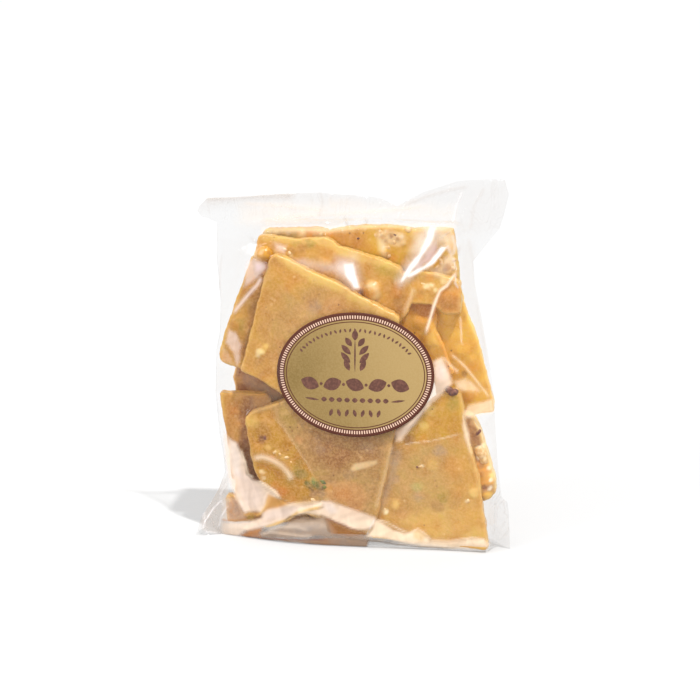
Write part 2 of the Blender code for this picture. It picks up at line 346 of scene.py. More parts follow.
# depth of the front face at its middle, how it changes to the right (swing) and upwards (lean), both 0
# where they aren't named, corners as seen from the front, stains as (x, z, radius, tone, strength),
# lumps as (x, z, radius, height) and patches as (tone, strength, softness, corners), all in mm; most stains
# and patches are the candy's own colours, and those that are painted shade or painted light say so
slabs = {
    "upperLeft": {
        "depth": -11.1, "swing": -0.02, "lean": 0.04, "tone": "honey", "tint": (0.85, 0.85, 0.78),
        "corners": [
            (-37.5, 130.5), (-36.4, 133.2), (-33.6, 134), (-23, 129.2), (-15.3, 125.4), (-4.9, 121.4),
            (3.6, 116.2), (11.3, 112.7), (21.8, 107.3), (17, 76), (-27.5, 67.6), (-40.5, 75.5),
            (-50.6, 80.1), (-49.1, 85.2), (-45.9, 97.8), (-42.1, 113),
        ],
        "stainsAndShade": [
            (-33.9, 120.5, 5, "amber", 0.35), (-17.6, 110.1, 5, "lilac", 0.4),
            (-7.6, 111.3, 6, "peach", 0.6), (-27.5, 121.6, 4, "orange", 0.3),
            (-13.1, 117.1, 4, "dusk", 0.2), (-40.4, 89.7, 2.4, "pale", 0.75),
            (-38.6, 92.1, 1.8, "pale", 0.7), (-42.2, 87.3, 1.6, "cream", 0.5), (-41.8, 85, 3, "dusk", 0.35),
            (-35.8, 88, 4, "dusk", 0.22), (-30.3, 92.3, 5, "peach", 0.4), (-33.5, 84.9, 5, "peach", 0.35),
            (-45, 79.8, 4, "golden", 0.5), (-37.7, 76.4, 4, "golden", 0.5),
            (-21.2, 114.5, 0.6, "toffee", 0.5), (-14.2, 116.4, 0.9, "toffee", 0.6),
            (-27.6, 111.4, 0.6, "toffee", 0.6), (-24.8, 111.7, 0.5, "toffee", 0.4),
            (-35.3, 104.1, 0.6, "toffee", 0.6), (-30.3, 126.1, 0.6, "toffee", 0.5),
            (-16.7, 122.4, 0.6, "toffee", 0.35), (-28, 99.3, 0.9, "dusk", 0.6),
            (-23, 104.5, 0.5, "dusk", 0.5), (-21.2, 95.4, 4, "honey", 0.5), (-29.4, 93.3, 3.5, "dusk", 0.5),
            (-30.8, 87.7, 3, "lilac", 0.4), (-41.3, 89.2, 2.4, "cream", 0.7),
            (-16.2, 111.1, 4, "lilac", 0.4),
        ],
        "lumps": [(-40.4, 89.7, 3.6, 0.6), (-23, 120.4, 6, 0.4), (-11.7, 113.9, 5, 0.35)],
        "patches": [
            ("tan", 0.6, 6, [(-29.8, 117.9), (-9.5, 120.8), (-2.7, 109.7), (-23, 97.6), (-34.4, 90.4),
                (-37.6, 104)]),
            ("golden", 0.7, 3.5, [(-37.5, 130.4), (-29.8, 130.6), (-18.5, 122.8), (-23, 117.2),
                (-32.1, 117.8), (-37.5, 122.2)]),
            # pale band along the top edge: the snapped rim's paler colour, with painted light of the lit top
            # edge
            ("pale", 0.85, 1.6, [(-35.7, 134.9), (-30.2, 135.1), (-18.5, 128.7), (-4.1, 121.4), (5, 117.6),
                (23, 109.6), (21.2, 105.5), (9.5, 110.1), (-2.7, 116), (-14.9, 121.1), (-26.6, 127.1),
                (-33, 130.5)]),
            ("amber", 0.45, 2, [(-40.3, 122.1), (-37.5, 121.3), (-40.3, 107.6), (-45, 92.3), (-48.7, 82.5),
                (-50.6, 82.4), (-45.8, 101.4)]),
            ("golden", 0.6, 0.8, [(-33.9, 127.8), (-30.3, 126.1), (-24.8, 118.1), (-22.1, 114.5),
                (-23.5, 113.1), (-27.5, 117.1), (-32.1, 122.4)]),
            ("peach", 0.5, 5, [(-25.3, 113.5), (-4.9, 116.4), (4.1, 109), (-13.9, 105.7), (-25.3, 99.8)]),
        ],
    },
    "lowerLeft": {
        "depth": -12.5, "swing": 0.02, "lean": 0.02, "tone": "tan", "tint": (0.77, 0.73, 0.66),
        "corner": 1.5,
        "corners": [
            (-48.4, 57.9), (-46.1, 61), (-40.5, 63), (-34.6, 65.4), (-27.7, 68.5), (20.5, 66), (20.5, 54.7),
            (12.8, 14.3), (9, 4.5), (3, 4.5), (-23.3, 14), (-32.5, 19.9), (-40.8, 27.3), (-43.3, 30.1),
            (-45.8, 39.5), (-47.7, 51.8),
        ],
        "stainsAndShade": [
            (-45.2, 57.5, 5, "pale", 0.6), (-47.1, 48, 2.2, "pale", 0.5), (-36.9, 57.7, 5, "golden", 0.4),
            (-30.5, 61.7, 4, "olive", 0.45), (-27.7, 57.5, 4, "olive", 0.5),
            (-26.8, 52.8, 0.7, "toffee", 0.8), (-23.7, 48.7, 2.6, "peach", 0.8),
            (-38.9, 37.4, 3, "honey", 0.5), (-24.2, 36.4, 4.5, "olive", 0.7),
            (-22.3, 32.7, 4, "olive", 0.7), (-25.1, 17.8, 2, "pale", 0.7), (-27.9, 29.6, 4, "olive", 0.45),
            (-15.9, 28.1, 3.2, "moss", 0.9), (-12.7, 26.3, 2, "bark", 0.8), (-16.8, 23.3, 3, "lilac", 0.6),
            (-20.5, 20.8, 3, "dusk", 0.4), (-9.5, 46.8, 5, "dusk", 0.55), (-5.8, 40.8, 4, "dusk", 0.35),
            (-1.7, 46.5, 2.2, "tan", 0.7), (7, 46.3, 5, "lilac", 0.5), (-15, 49, 3, "lilac", 0.35),
            (-0.3, 33.4, 4, "lilac", 0.3), (-9.5, 25.9, 3, "golden", 0.7), (0.6, 21, 5, "peach", 0.5),
            (7, 28.4, 0.8, "dusk", 0.8), (-10.8, 20.7, 1.5, "cream", 0.4), (2.5, 18.7, 0.6, "toffee", 0.4),
            (-40.6, 52.9, 5, "toffee", 0.35), (-40.8, 33, 1.6, "cream", 0.9),
            (-40.1, 30.2, 1.5, "cream", 0.85), (-20, 28, 2.4, "moss", 0.9), (-17.3, 30, 2.2, "sage", 0.8),
            (-18.2, 25.7, 2, "bark", 0.6), (-13.1, 23.4, 2.4, "lilac", 0.6), (-8.5, 18.3, 3, "cream", 0.35),
            (-27.8, 38.2, 4, "golden", 0.5), (-48.1, 40.9, 2.5, "pale", 0.4),
            (-3.5, 23.8, 5, "orange", 0.3), (-40.6, 48.9, 3, "dusk", 0.9), (-40.6, 48.9, 1.6, "brown", 0.6),
            (-37.9, 45, 2, "pale", 0.8), (-33.8, 42.7, 1.8, "pale", 0.8), (-30.6, 40.5, 2.2, "pale", 0.75),
            (-36.1, 39.8, 1.8, "orange", 0.7), (-42.5, 44.4, 3, "golden", 0.7),
            (-31.1, 23.8, 4.5, "orange", 0.85), (-27, 20.1, 3, "golden", 0.9),
            (-34.8, 26.5, 3, "orange", 0.6), (-23.2, 33.1, 4, "moss", 0.4), (-15.9, 28.1, 3.6, "moss", 0.5),
            (-2.6, 43.7, 4, "dusk", 0.4), (-13.1, 44.3, 4, "lilac", 0.4),
        ],
        "lumps": [
            (-43.9, 43.4, 4, 0.5), (-40.8, 32.1, 2.6, 0.5), (-2.6, 23.3, 7, 0.7), (5.2, 37.3, 3, 0.5),
            (-15, 27.2, 3.5, 0.5),
        ],
        "patches": [
            ("amber", 0.95, 1.5, [(-49.7, 60.2), (-36.9, 62.4), (-30.5, 54.2), (-24.6, 44.9), (-20.5, 38.4),
                (-15, 29.1), (-15.9, 18.1), (-40.9, 19.6), (-50.9, 33.6)]),
            ("dusk", 0.62, 4, [(-21.3, 53.5), (13.3, 56.9), (15.6, 40.5), (-0.3, 38.1), (-9.5, 32.1),
                (-16.8, 40.4)]),
            ("peach", 0.8, 2.2, [(-11.8, 27.3), (-2.6, 30), (5.2, 28.3), (8.4, 21.3), (4.3, 14.5),
                (-11.8, 14.9)]),
            ("tan", 0.5, 2, [(7.9, 35.5), (17, 35.8), (14.4, 14.4), (6.2, 15.5), (8.9, 26.1)]),
            ("cream", 0.8, 0.8, [(0.1, 35.5), (1.5, 37.9), (7, 39.3), (12, 40.4), (12, 38.7), (6.1, 36.4),
                (1.1, 34.8)]),
            ("pale", 0.4, 1.4, [(17.4, 50), (20.6, 50), (12.6, 14.3), (9.4, 14.2)]),
        ],
    },
    "lowerRight": {
        "depth": -10.8, "swing": -0.04, "lean": 0.03, "tone": "honey", "tint": (0.92, 0.97, 1.03),
        "corners": [
            (16.5, 47), (26.7, 55.4), (30.8, 60.7), (34.3, 66.9), (38.8, 71.3), (43.3, 73.5), (47.3, 73.6),
            (49.4, 71.7), (50.8, 64.9), (51.2, 57.9), (52.4, 52.4), (54.3, 46.5), (56.2, 41), (58.4, 32.6),
            (59.4, 25.6), (61.2, 13.9), (63.2, 2.6), (62.6, -0.6), (9, 2.5),
        ],
        "stainsAndShade": [
            (45.6, 67, 4, "olive", 0.6), (42.5, 62.2, 4, "amber", 0.5), (35.8, 57.7, 3, "golden", 0.7),
            # the toffee spot at the top left corner is painted shade from the slab in front
            (25.9, 49.8, 4, "toffee", 0.45), (33.2, 51.1, 3, "orange", 0.4),
            (36.9, 38.6, 4.5, "pale", 0.55), (29.2, 39.2, 5, "olive", 0.35), (40.5, 44.4, 4, "lilac", 0.55),
            (33.2, 45.5, 4, "tan", 0.5), (47.4, 37.7, 6, "orange", 0.3), (30.2, 27.9, 4, "sage", 0.4),
            (30.7, 23.2, 4, "lilac", 0.45), (42.2, 23.3, 4.5, "olive", 0.75), (39.9, 19.4, 4, "dusk", 0.4),
            (47.7, 21.2, 4, "dusk", 0.2), (20.7, 18.9, 3, "pale", 0.7), (16.1, 15.3, 1.8, "cream", 0.9),
            (23.9, 14.3, 3.5, "peach", 0.5), (56.7, 26.4, 3.2, "pale", 0.7), (36.4, 10.2, 8, "golden", 0.4),
            (54.6, 13.6, 7, "golden", 0.45), (48.8, 8.5, 5, "orange", 0.2),
            (30.6, 37.1, 0.9, "toffee", 0.85), (32.6, 37.9, 1, "cream", 0.95),
            (38.4, 31.4, 0.7, "toffee", 0.7), (39.1, 28.6, 0.7, "toffee", 0.7),
            (53.1, 22.5, 1.1, "cream", 0.9), (24.7, 27.6, 4, "peach", 0.3), (49.9, 27.5, 4, "orange", 0.2),
            # the two lilac spots near the left edge are painted shade from the slab in front
            (20.6, 30.7, 2.6, "lilac", 0.5), (19.6, 38.2, 2.2, "lilac", 0.5), (56.2, 26.7, 3, "pale", 0.5),
            (35.7, 63.8, 4, "pale", 0.6), (33.1, 56.7, 3, "pale", 0.6), (40.2, 68.1, 3.5, "golden", 0.6),
            # the dusk spot at the top left corner is painted shade from the slab in front
            (25.9, 49.3, 3, "dusk", 0.6), (47.4, 70.3, 3, "olive", 0.5),
        ],
        "lumps": [
            (56.7, 26.9, 3.6, 0.6), (20.7, 18.4, 4, 0.6), (42.2, 22.4, 5, 0.3), (36, 39.5, 4, 0.4),
            (30.9, 6.1, 4.5, 0.5),
        ],
        "patches": [
            ("amber", 0.85, 1, [(21.3, 49.6), (27.6, 57.3), (33.9, 67.8), (40.1, 73.7), (48.2, 74.9),
                (51.5, 64), (51.2, 54.3), (44, 52.3), (35.9, 50.3), (27.7, 48.7), (21.3, 46.7)]),
            ("tan", 0.55, 5, [(20.4, 43.9), (40.5, 47.7), (45.2, 32), (43.7, 15.3), (22.6, 14.2),
                (15.5, 25.7)]),
            ("golden", 0.45, 2.5, [(51.3, 51), (56.1, 37.2), (59.5, 23.3), (63, 4.6), (58.4, 4.3),
                (54.5, 23), (49.6, 41.6)]),
            # lilac strip along the left edge: painted shade cast by the slab in front
            ("lilac", 0.5, 2.2, [(18.6, 44.7), (22.7, 44.9), (21.4, 35.5), (17.9, 24.9), (14.2, 15.2),
                (11.9, 15), (16, 31.4)]),
            ("pale", 0.4, 5, [(27.1, 15.9), (54.5, 20.7), (63, 2.2), (31.9, 2.8), (20.3, 10.7)]),
        ],
    },
    "upperMiddle": {
        "depth": -3.9, "lean": 0.06, "tone": "golden", "tint": (0.87, 0.89, 0.82),
        "corners": [
            (-43.4, 139.2), (-42.2, 141.2), (-37.6, 141.2), (-31.7, 140.4), (-25.8, 139.5), (-22.6, 140.2),
            (-12.2, 140.7), (-9.5, 139.3), (-6.8, 137.1), (3.1, 134.2), (13.1, 131.4), (21.2, 128.1),
            (22.8, 125), (26.9, 119), (27.4, 113.6), (24.5, 107), (20.5, 102), (-23.5, 93), (-45, 131),
        ],
        "stainsAndShade": [
            (-19.4, 138.6, 3.2, "olive", 0.8), (-25.8, 138, 2.5, "olive", 0.5),
            (-23.5, 135.4, 3.5, "dusk", 0.45), (-27.6, 134.4, 3, "dusk", 0.4),
            (-28, 132.6, 1.6, "cream", 0.6), (-33.9, 136, 4, "peach", 0.7),
            (-10.4, 132.5, 6, "orange", 0.3), (-1.3, 128.2, 5, "honey", 0.4), (4.2, 117.1, 2, "brown", 0.9),
            (1, 122, 3, "peach", 0.4), (19.5, 117, 4.5, "orange", 0.6), (20.5, 110.7, 4, "toffee", 0.4),
            (14.9, 122.3, 3, "golden", 0.4), (24.9, 117.2, 3, "golden", 0.6),
            (7.8, 111.7, 3, "golden", 0.5), (8.7, 117.2, 5.6, "cream", 0.75),
            (8, 116.5, 3.9, "golden", 0.9),
        ],
        "lumps": [
            (8.7, 117.2, 5, 2.6), (-26.2, 134.9, 3, 0.5), (-19.4, 138.6, 3.5, 0.5), (20.4, 118, 4, 0.6),
        ],
        "patches": [
            ("olive", 0.65, 3, [(10.4, 130.3), (21.2, 127.9), (22.1, 122.5), (14.5, 123.2), (7.7, 127.6)]),
            ("honey", 0.6, 5, [(-24, 134), (-3.6, 131.8), (8.6, 124.4), (-5.8, 119.5), (-23.9, 129.5)]),
            # pale band along the top edge: the snapped rim's paler colour, with painted light of the lit top
            # edge
            ("pale", 0.75, 1.3, [(-43, 142.1), (-30.8, 141.5), (-24, 140.3), (-12.2, 141.5), (-5.9, 137.1),
                (4, 134.7), (14.4, 131.8), (22.1, 127.9), (20.3, 126.1), (11.3, 129.5), (-0.4, 131.4),
                (-9, 135.3), (-15.8, 137.8), (-25.3, 137.6), (-33, 138.3), (-41.2, 139)]),
            ("toffee", 0.3, 3, [(14.5, 120.1), (23, 121.6), (25.8, 113.6), (21.4, 106.7), (16, 111.1)]),
        ],
    },
    "rightMiddle": {
        "depth": -2.2, "swing": 0.03, "lean": 0.03, "tone": "golden", "tint": (1.08, 0.97, 0.65),
        "corners": [
            (17, 114), (36.5, 112), (38, 105.6), (37.6, 100), (40.5, 93.3), (43.2, 86.5), (46, 79.5),
            (40, 74.5), (18.5, 78),
        ],
        "stainsAndShade": [(38.5, 88.4, 3, "golden", 0.6), (32.9, 99.4, 2, "cream", 0.4)],
        "lumps": [(29.3, 102, 3.5, 0.4), (34.8, 93.9, 3, 0.4)],
        "patches": [
            # pale patch below the band: painted light over the shade the shoulder casts
            ("pale", 0.35, 2, [(21.1, 105.5), (35.6, 104.5), (37.4, 99), (30.2, 98.4), (22.1, 101)]),
            # orange then brown band along the top: painted shadow under the shoulder
            ("orange", 0.9, 0.8, [(23.8, 112.4), (26.5, 111.1), (37.3, 111.8), (37.8, 107.3), (35.1, 104.4),
                (30.1, 105.7), (25.6, 108.8)]),
            ("brown", 0.5, 0.8, [(23.8, 112.4), (26.5, 111.1), (37.3, 111.8), (37.8, 107.3), (35.1, 104.4),
                (30.1, 105.7), (25.6, 108.8)]),
            ("pale", 0.75, 1, [(30.7, 97.9), (36.5, 99), (39.3, 92.6), (42.1, 84.8), (39.5, 82),
                (34.8, 90.2)]),
        ],
    },
    "shoulder": {
        "depth": -4.4, "lean": 0.05, "tone": "honey", "tint": (0.97, 1.03, 0.98),
        "corners": [
            (19, 125.2), (32, 126.4), (39.2, 125.4), (47.5, 122.6), (48.8, 118.1), (48.9, 107.5),
            (40.5, 107.3), (36.8, 111.2), (26.9, 111.8), (17, 108),
        ],
        "stainsAndShade": [
            (33.4, 120.1, 2, "cream", 0.8), (35.6, 120.6, 1.6, "cream", 0.8),
            (37.4, 118.4, 1.6, "cream", 0.6), (44.5, 119, 2.5, "peach", 0.6),
            (40.9, 122.5, 2.5, "cream", 0.5), (34.6, 123.7, 3, "orange", 0.5),
            (30.3, 115.5, 2.4, "orange", 0.5), (26.6, 119.9, 3, "golden", 0.5),
        ],
        "lumps": [(42.8, 114, 4, 0.6), (28.5, 118.1, 4, 0.4)],
        "patches": [
            ("orange", 0.9, 1.2, [(39.2, 117.5), (42.7, 119.9), (48.1, 119.5), (49.2, 106.5), (39.8, 106.2),
                (37.5, 111.1)]),
            ("toffee", 0.45, 1.6, [(38.4, 113.9), (43.7, 117.6), (49.1, 114.2), (49.2, 106.5),
                (38.5, 106.2)]),
            ("golden", 0.6, 1.6, [(22.1, 122.5), (32, 121.8), (37.4, 115.6), (35.7, 112.4), (26.7, 112.2)]),
        ],
    },
    "farRight": {
        "depth": 0.9, "tone": "golden", "tint": (1.15, 1.28, 1.08),
        "corners": [
            (33, 119.4), (47.5, 121.5), (48.6, 115.2), (50.4, 108.4), (52.7, 102.9), (55.5, 96.1),
            (57.4, 90.1), (58.8, 84.5), (60.3, 78.5), (61.6, 74.3), (63.3, 68.3), (64.2, 61.4),
            (57.7, 60.1), (51.3, 58.5), (38, 62), (34.5, 100),
        ],
        "stainsAndShade": [
            (45.9, 92.1, 6, "golden", 0.5), (54.6, 82.5, 3.5, "orange", 0.6),
            (50.1, 78.6, 2.2, "toffee", 0.7), (43.7, 82.7, 4, "olive", 0.4), (41.8, 89.6, 4, "honey", 0.4),
            (41.7, 97, 3, "amber", 0.5), (52.1, 68.4, 4, "orange", 0.6), (60.2, 71.5, 3, "golden", 0.6),
            (52.7, 92.3, 5, "orange", 0.25), (43.5, 101.3, 4, "honey", 0.4),
        ],
        "lumps": [(49.1, 88.9, 4, 0.5), (53, 69.3, 4, 0.6)],
        "patches": [
            ("golden", 0.7, 1.6, [(48.3, 112.9), (50.6, 109.3), (56.2, 94.7), (61, 77.1), (57.4, 79.8),
                (52.6, 94.6), (48.9, 103.7)]),
        ],
    },
    "leftEdge": {
        "depth": -3.3, "lean": 0.03, "tone": "honey", "tint": (0.87, 0.87, 0.66),
        "corners": [
            (-46.5, 131.2), (-50.2, 120.3), (-54.9, 107.3), (-58.7, 97), (-60.9, 89), (-61.6, 84.3),
            (-60.7, 81.6), (-54.3, 80.1), (-46, 77), (-34, 78), (-32, 100), (-36.5, 122), (-39.5, 130),
        ],
        "stainsAndShade": [
            (-58.4, 84.4, 3, "orange", 0.5), (-50.3, 105.6, 4, "golden", 0.5),
            (-51.8, 99.5, 4, "olive", 0.5), (-46.1, 114.9, 3, "toffee", 0.35),
            (-54.1, 99.4, 3, "orange", 0.4),
        ],
        "lumps": [(-51.8, 100.9, 3.5, 0.5)],
        "patches": [
            # toffee strip along the upper left slab's edge: painted shade beside that edge
            ("toffee", 0.6, 1.2, [(-41.5, 117.8), (-44.4, 106.7), (-47.7, 93.6), (-51.5, 83.2),
                (-52.8, 83.2), (-49.1, 95), (-47.1, 107.5), (-43.8, 116.8)]),
            ("tan", 0.5, 3, [(-51.8, 97.2), (-48.9, 111.2), (-46.2, 111.2), (-49.1, 90.3)]),
        ],
    },
    "lowLeftEdge": {
        "depth": -4.5, "tone": "honey", "tint": (0.79, 0.7, 0.55),
        "corners": [
            (-61.6, 67.8), (-55.7, 67.4), (-40, 68), (-20, 40), (-40, 24), (-52, 25.5), (-56.8, 26),
            (-57.5, 40), (-58.8, 47.5), (-60.1, 54.6), (-61.2, 61.8),
        ],
        "stainsAndShade": [
            (-55.8, 60.5, 4, "orange", 0.35), (-57.6, 64.3, 3, "golden", 0.4),
            (-54.1, 53.9, 3, "golden", 0.4),
        ],
        "patches": [
            # toffee strip along the lower left slab's edge: painted shade cast by that slab
            ("toffee", 0.75, 1.6, [(-49.7, 66.4), (-46, 66.6), (-44.8, 45.6), (-44.1, 26.3), (-48.8, 26.1),
                (-52.4, 42.9), (-52.1, 59.7)]),
            ("pale", 0.55, 1.2, [(-62.2, 68.9), (-59.5, 67.1), (-57.9, 49.9), (-56.3, 30.7), (-59.1, 30.6),
                (-61.5, 54.6)]),
        ],
    },
    "bottomLeft": {
        "depth": -3.5, "tone": "dusk", "tint": (1.3, 1.34, 1.2),
        "corners": [(-59.7, 18), (-54.5, 17.5), (-50, 14.5), (-24, 15), (-20, 6), (-59.5, 5)],
        "stainsAndShade": [
            (-56, 12, 4, "toffee", 0.8), (-48, 8.5, 3, "olive", 0.7), (-42, 12, 4, "amber", 0.8),
            (-58, 16, 2, "cream", 0.4),
        ],
        "lumps": [(-56, 13, 3, 0.6)],
    },
    "bottomMiddle": {
        "depth": -4.5, "tone": "peach",
        "corners": [(-18, 36), (9, 36), (10, 1.5), (-12, 1.5)],
        "stainsAndShade": [(-6, 4, 4, "amber", 0.8)],
    },
    "topRight": {
        "depth": 3.2, "lean": -0.02, "tone": "amber", "tint": (1.03, 1.16, 1.42), "rim": 0.6,
        "corners": [
            (-15, 141.6), (-10.8, 142.9), (-2.2, 144.6), (6.4, 145.4), (19.5, 145.5), (26.2, 144.1),
            (33.9, 144.9), (44.2, 144.4), (45.8, 135.3), (47, 125.2), (47.8, 114), (33, 108), (30, 104),
            (-11, 98),
        ],
        "stainsAndShade": [
            (-11.2, 141.7, 2.5, "orange", 0.7), (17.3, 130.9, 3, "orange", 0.5),
            (41.1, 139.7, 5, "cream", 0.6), (43, 129.7, 3, "cream", 0.5), (36.7, 123.1, 4, "orange", 0.4),
            (34, 125.8, 3, "cream", 0.5), (41.2, 126.9, 2.4, "toffee", 0.9),
            (38.4, 135.1, 2, "toffee", 0.4), (42.4, 138.4, 2, "orange", 0.4),
            (43.8, 134.3, 1.6, "toffee", 0.4), (16.4, 141, 1.6, "toffee", 0.8),
            (19.1, 139.7, 1.4, "toffee", 0.6), (17.7, 137.8, 1.1, "toffee", 0.5),
            (14.1, 138.7, 1.3, "toffee", 0.5), (11.4, 141.8, 1.3, "cream", 0.6),
            (14.1, 143.2, 1.1, "cream", 0.6), (21.3, 141.1, 1.3, "cream", 0.6),
            (12.8, 135.9, 1.3, "cream", 0.5), (12.3, 140.9, 1, "toffee", 0.4),
            (14.6, 133.2, 1, "toffee", 0.5),
        ],
        "lumps": [
            (12.7, 141.4, 1.8, 0.6), (15, 138.7, 1.8, 0.6), (20.4, 140.6, 2, 0.7), (22.2, 137.9, 1.6, 0.6),
            (14.1, 133.2, 2.2, 0.7), (42.1, 129.7, 4, 0.7), (39.3, 133.3, 2.4, 0.6), (42.9, 137, 2.4, 0.6),
        ],
        "patches": [
            ("orange", 0.6, 3, [(-13.5, 142.6), (5.1, 143.5), (8.7, 133.5), (-6.7, 135.4)]),
            ("toffee", 0.35, 3, [(-11.2, 142.7), (5.1, 143), (6.9, 134.4), (-5.8, 135.9)]),
            ("golden", 0.5, 3, [(7.8, 143.5), (29.4, 144), (31.3, 134), (15.9, 134.6)]),
            ("cream", 0.45, 2.5, [(26.7, 143.1), (33.9, 143.2), (31.2, 134.9), (24.9, 134.8)]),
            ("cream", 0.42, 1.2, [(10, 142.7), (15.9, 143.7), (22.2, 142), (23.6, 138), (19.5, 136),
                (15.5, 137.3), (13.7, 134.5), (16.4, 131.8), (13.2, 130.4), (11, 134.5), (10.5, 139)]),
        ],
    },
    "topLeft": {
        "depth": 4.4, "lean": -0.02, "tone": "dusk", "tint": (1.2, 1.38, 1.35), "rim": 0.15,
        "corners": [
            (-42.5, 141), (-40.4, 142.6), (-25.3, 143.1), (-16.2, 143.3), (-12.2, 142.2), (-9, 136),
            (-9, 100), (-34, 95), (-43, 108),
        ],
        "stainsAndShade": [
            (-39.7, 141.3, 2, "olive", 0.6), (-37.9, 140.5, 1.4, "dusk", 0.5),
            (-34.2, 139.6, 1.8, "dusk", 0.5), (-30.5, 141.1, 1.6, "lilac", 0.6),
            (-29.2, 139.3, 1.4, "toffee", 0.5), (-20.5, 140.4, 2.6, "orange", 0.7),
            (-24.1, 141.2, 2, "cream", 0.5), (-15.5, 141, 1.4, "cream", 0.7),
        ],
        "lumps": [(-36.5, 140.5, 2.5, 0.5), (-30.5, 140.2, 2.5, 0.5)],
        "patches": [
            ("tan", 0.9, 0.6, [(-41.5, 143.1), (-26.9, 143.5), (-26.5, 137.5), (-41.6, 137.6)]),
            ("peach", 0.9, 0.6, [(-26.4, 143.5), (-12.3, 143.8), (-11.4, 137.4), (-26.5, 137.5)]),
        ],
    },
    "leftBack": {
        # dark toffee tone and lilac spots: the hidden slab's colour, darkened and made mauve as painted shade
        # of the gap behind the front slabs
        "depth": 4.4, "swing": 0.02, "tone": "toffee", "tint": (1.28, 1.4, 1.6),
        "corners": [
            (-55, 80), (-56.8, 72.5), (-55.4, 64), (-54, 47), (-30, 42), (3, 52), (-1, 82), (-8, 93),
            (-30, 87),
        ],
        "stainsAndShade": [
            (-54.4, 71.6, 3, "honey", 0.5), (-48.8, 71.8, 5, "lilac", 0.4), (-43.3, 67.2, 5, "lilac", 0.5),
            (-38.6, 64.4, 4, "lilac", 0.4), (-46, 75.7, 3, "toffee", 0.4),
        ],
    },
    "rightBack": {
        "depth": 3.0, "swing": -0.02, "lean": 0.01, "tone": "tan",
        "corners": [(2, 95), (32, 98), (33, 60), (46, 57), (52, 37), (8, 42.5)],
        "stainsAndShade": [(22, 50, 5, "dusk", 0.6)],
    },
    "lowLeftBack": {
        "depth": 4.0, "tone": "honey",
        "corners": [(-56, 42), (-32, 36), (4, 45), (10, 22), (3, 3), (-57, 4)],
    },
    "lowRightBack": {
        "depth": 4.4, "swing": 0.02, "tone": "honey",
        "corners": [(12, 38), (40, 31), (55, 32), (60, 4), (9, 3)],
    },
    "edgeOn": {
        "depth": -6.0, "thickness": 9.4, "tone": "dusk", "tint": (1.27, 1.6, 2.2),
        "corners": [
            (50.8, 62), (54.2, 61.4), (58.4, 53.6), (61.7, 42.8), (63.2, 38.1), (65.6, 30.2), (65.8, 24.9),
            (63.5, 21.9), (60.1, 20.2), (55, 21), (53, 40), (50, 56),
        ],
        "stainsAndShade": [
            (57.9, 45.5, 2.2, "cream", 1), (58.6, 42.3, 2.6, "cream", 1), (59.6, 47, 1.8, "cream", 0.7),
            (56.4, 51.2, 2, "toffee", 0.6), (54.5, 57.2, 2, "peach", 0.6), (57.3, 54.5, 1.6, "brown", 0.6),
            (58.9, 37.5, 1.8, "toffee", 0.5), (59, 33.7, 2.4, "toffee", 0.45),
            (60.4, 27.6, 1.8, "brown", 0.8), (61.9, 23.8, 3, "golden", 1), (63.2, 27.2, 1.5, "cream", 0.6),
            (64, 33, 1.8, "pale", 0.7), (62.5, 36.7, 1.4, "cream", 0.8), (63.5, 31, 1.3, "cream", 0.7),
            (60, 50.8, 1.2, "cream", 0.6), (58.1, 57.3, 1, "cream", 0.5),
        ],
        "lumps": [(58.3, 44.1, 3.4, 0.8), (61.9, 23.8, 3, 0.6), (60.3, 33.8, 3, 0.5)],
        "patches": [
            ("toffee", 0.6, 1.2, [(52.6, 62.8), (57.1, 62), (61, 47.1), (55.6, 45.9), (53.7, 53.4)]),
            ("orange", 0.7, 1, [(55.7, 39.3), (62.9, 39.6), (64.9, 29.2), (59.5, 28)]),
        ],
    },
}


backRow = 2  # mm, slabs deeper than this lie behind the others


def middleOf(corners):
    return sum(x for x, z in corners) / len(corners), sum(z for x, z in corners) / len(corners)


def slabPlace(plan):
    cx, cz = middleOf(plan["corners"])
    swung = Matrix.Rotation(math.atan(plan.get("swing", 0)), 4, "Z")
    leant = Matrix.Rotation(-math.atan(plan.get("lean", 0)), 4, "X")
    return Matrix.Translation((cx, plan["depth"], cz)) @ (swung @ leant)


def faceDepth(plan, x, z):
    cx, cz = middleOf(plan["corners"])
    return plan["depth"] + plan.get("swing", 0) * (x - cx) + plan.get("lean", 0) * (z - cz)


def brokenSolid(plan, corners, look):
    # the outline as a plate with rounded corners, as an even mesh, in mm
    thickness = plan.get("thickness", look["thickness"])
    shape = bmesh.new()
    front = shape.faces.new([shape.verts.new((x, 0, z)) for x, z in corners])
    grown = bmesh.ops.extrude_face_region(shape, geom=[front])
    bmesh.ops.translate(shape, verts=addedVerts(grown), vec=(0, thickness, 0))
    bmesh.ops.recalc_face_normals(shape, faces=shape.faces)
    upright = [e for e in shape.edges if abs(e.verts[0].co.y - e.verts[1].co.y) > thickness / 2]
    rounding = {"offset_type": "OFFSET", "affect": "EDGES", "profile": 0.5, "material": -1,
                "clamp_overlap": True}
    radius = plan.get("corner", look["cornerRadius"])
    bmesh.ops.bevel(shape, geom=upright, offset=radius, segments=4, **rounding)
    rims = [e for e in shape.edges if e.calc_face_angle(0) > look["sharpEdge"]]
    bmesh.ops.bevel(shape, geom=rims, offset=look["edgeRound"], segments=2, **rounding)
    plate = newObject("plate", closeShape(shape, "plate"))
    even = plate.modifiers.new("even", "REMESH")
    even.mode = "VOXEL"
    even.voxel_size = look["voxelBehind"] if plan["depth"] > backRow else look["voxel"]
    bpy.context.view_layer.update()
    graph = bpy.context.evaluated_depsgraph_get()
    evened = bpy.data.meshes.new_from_object(plate.evaluated_get(graph))
    bpy.data.objects.remove(plate)
    return evened


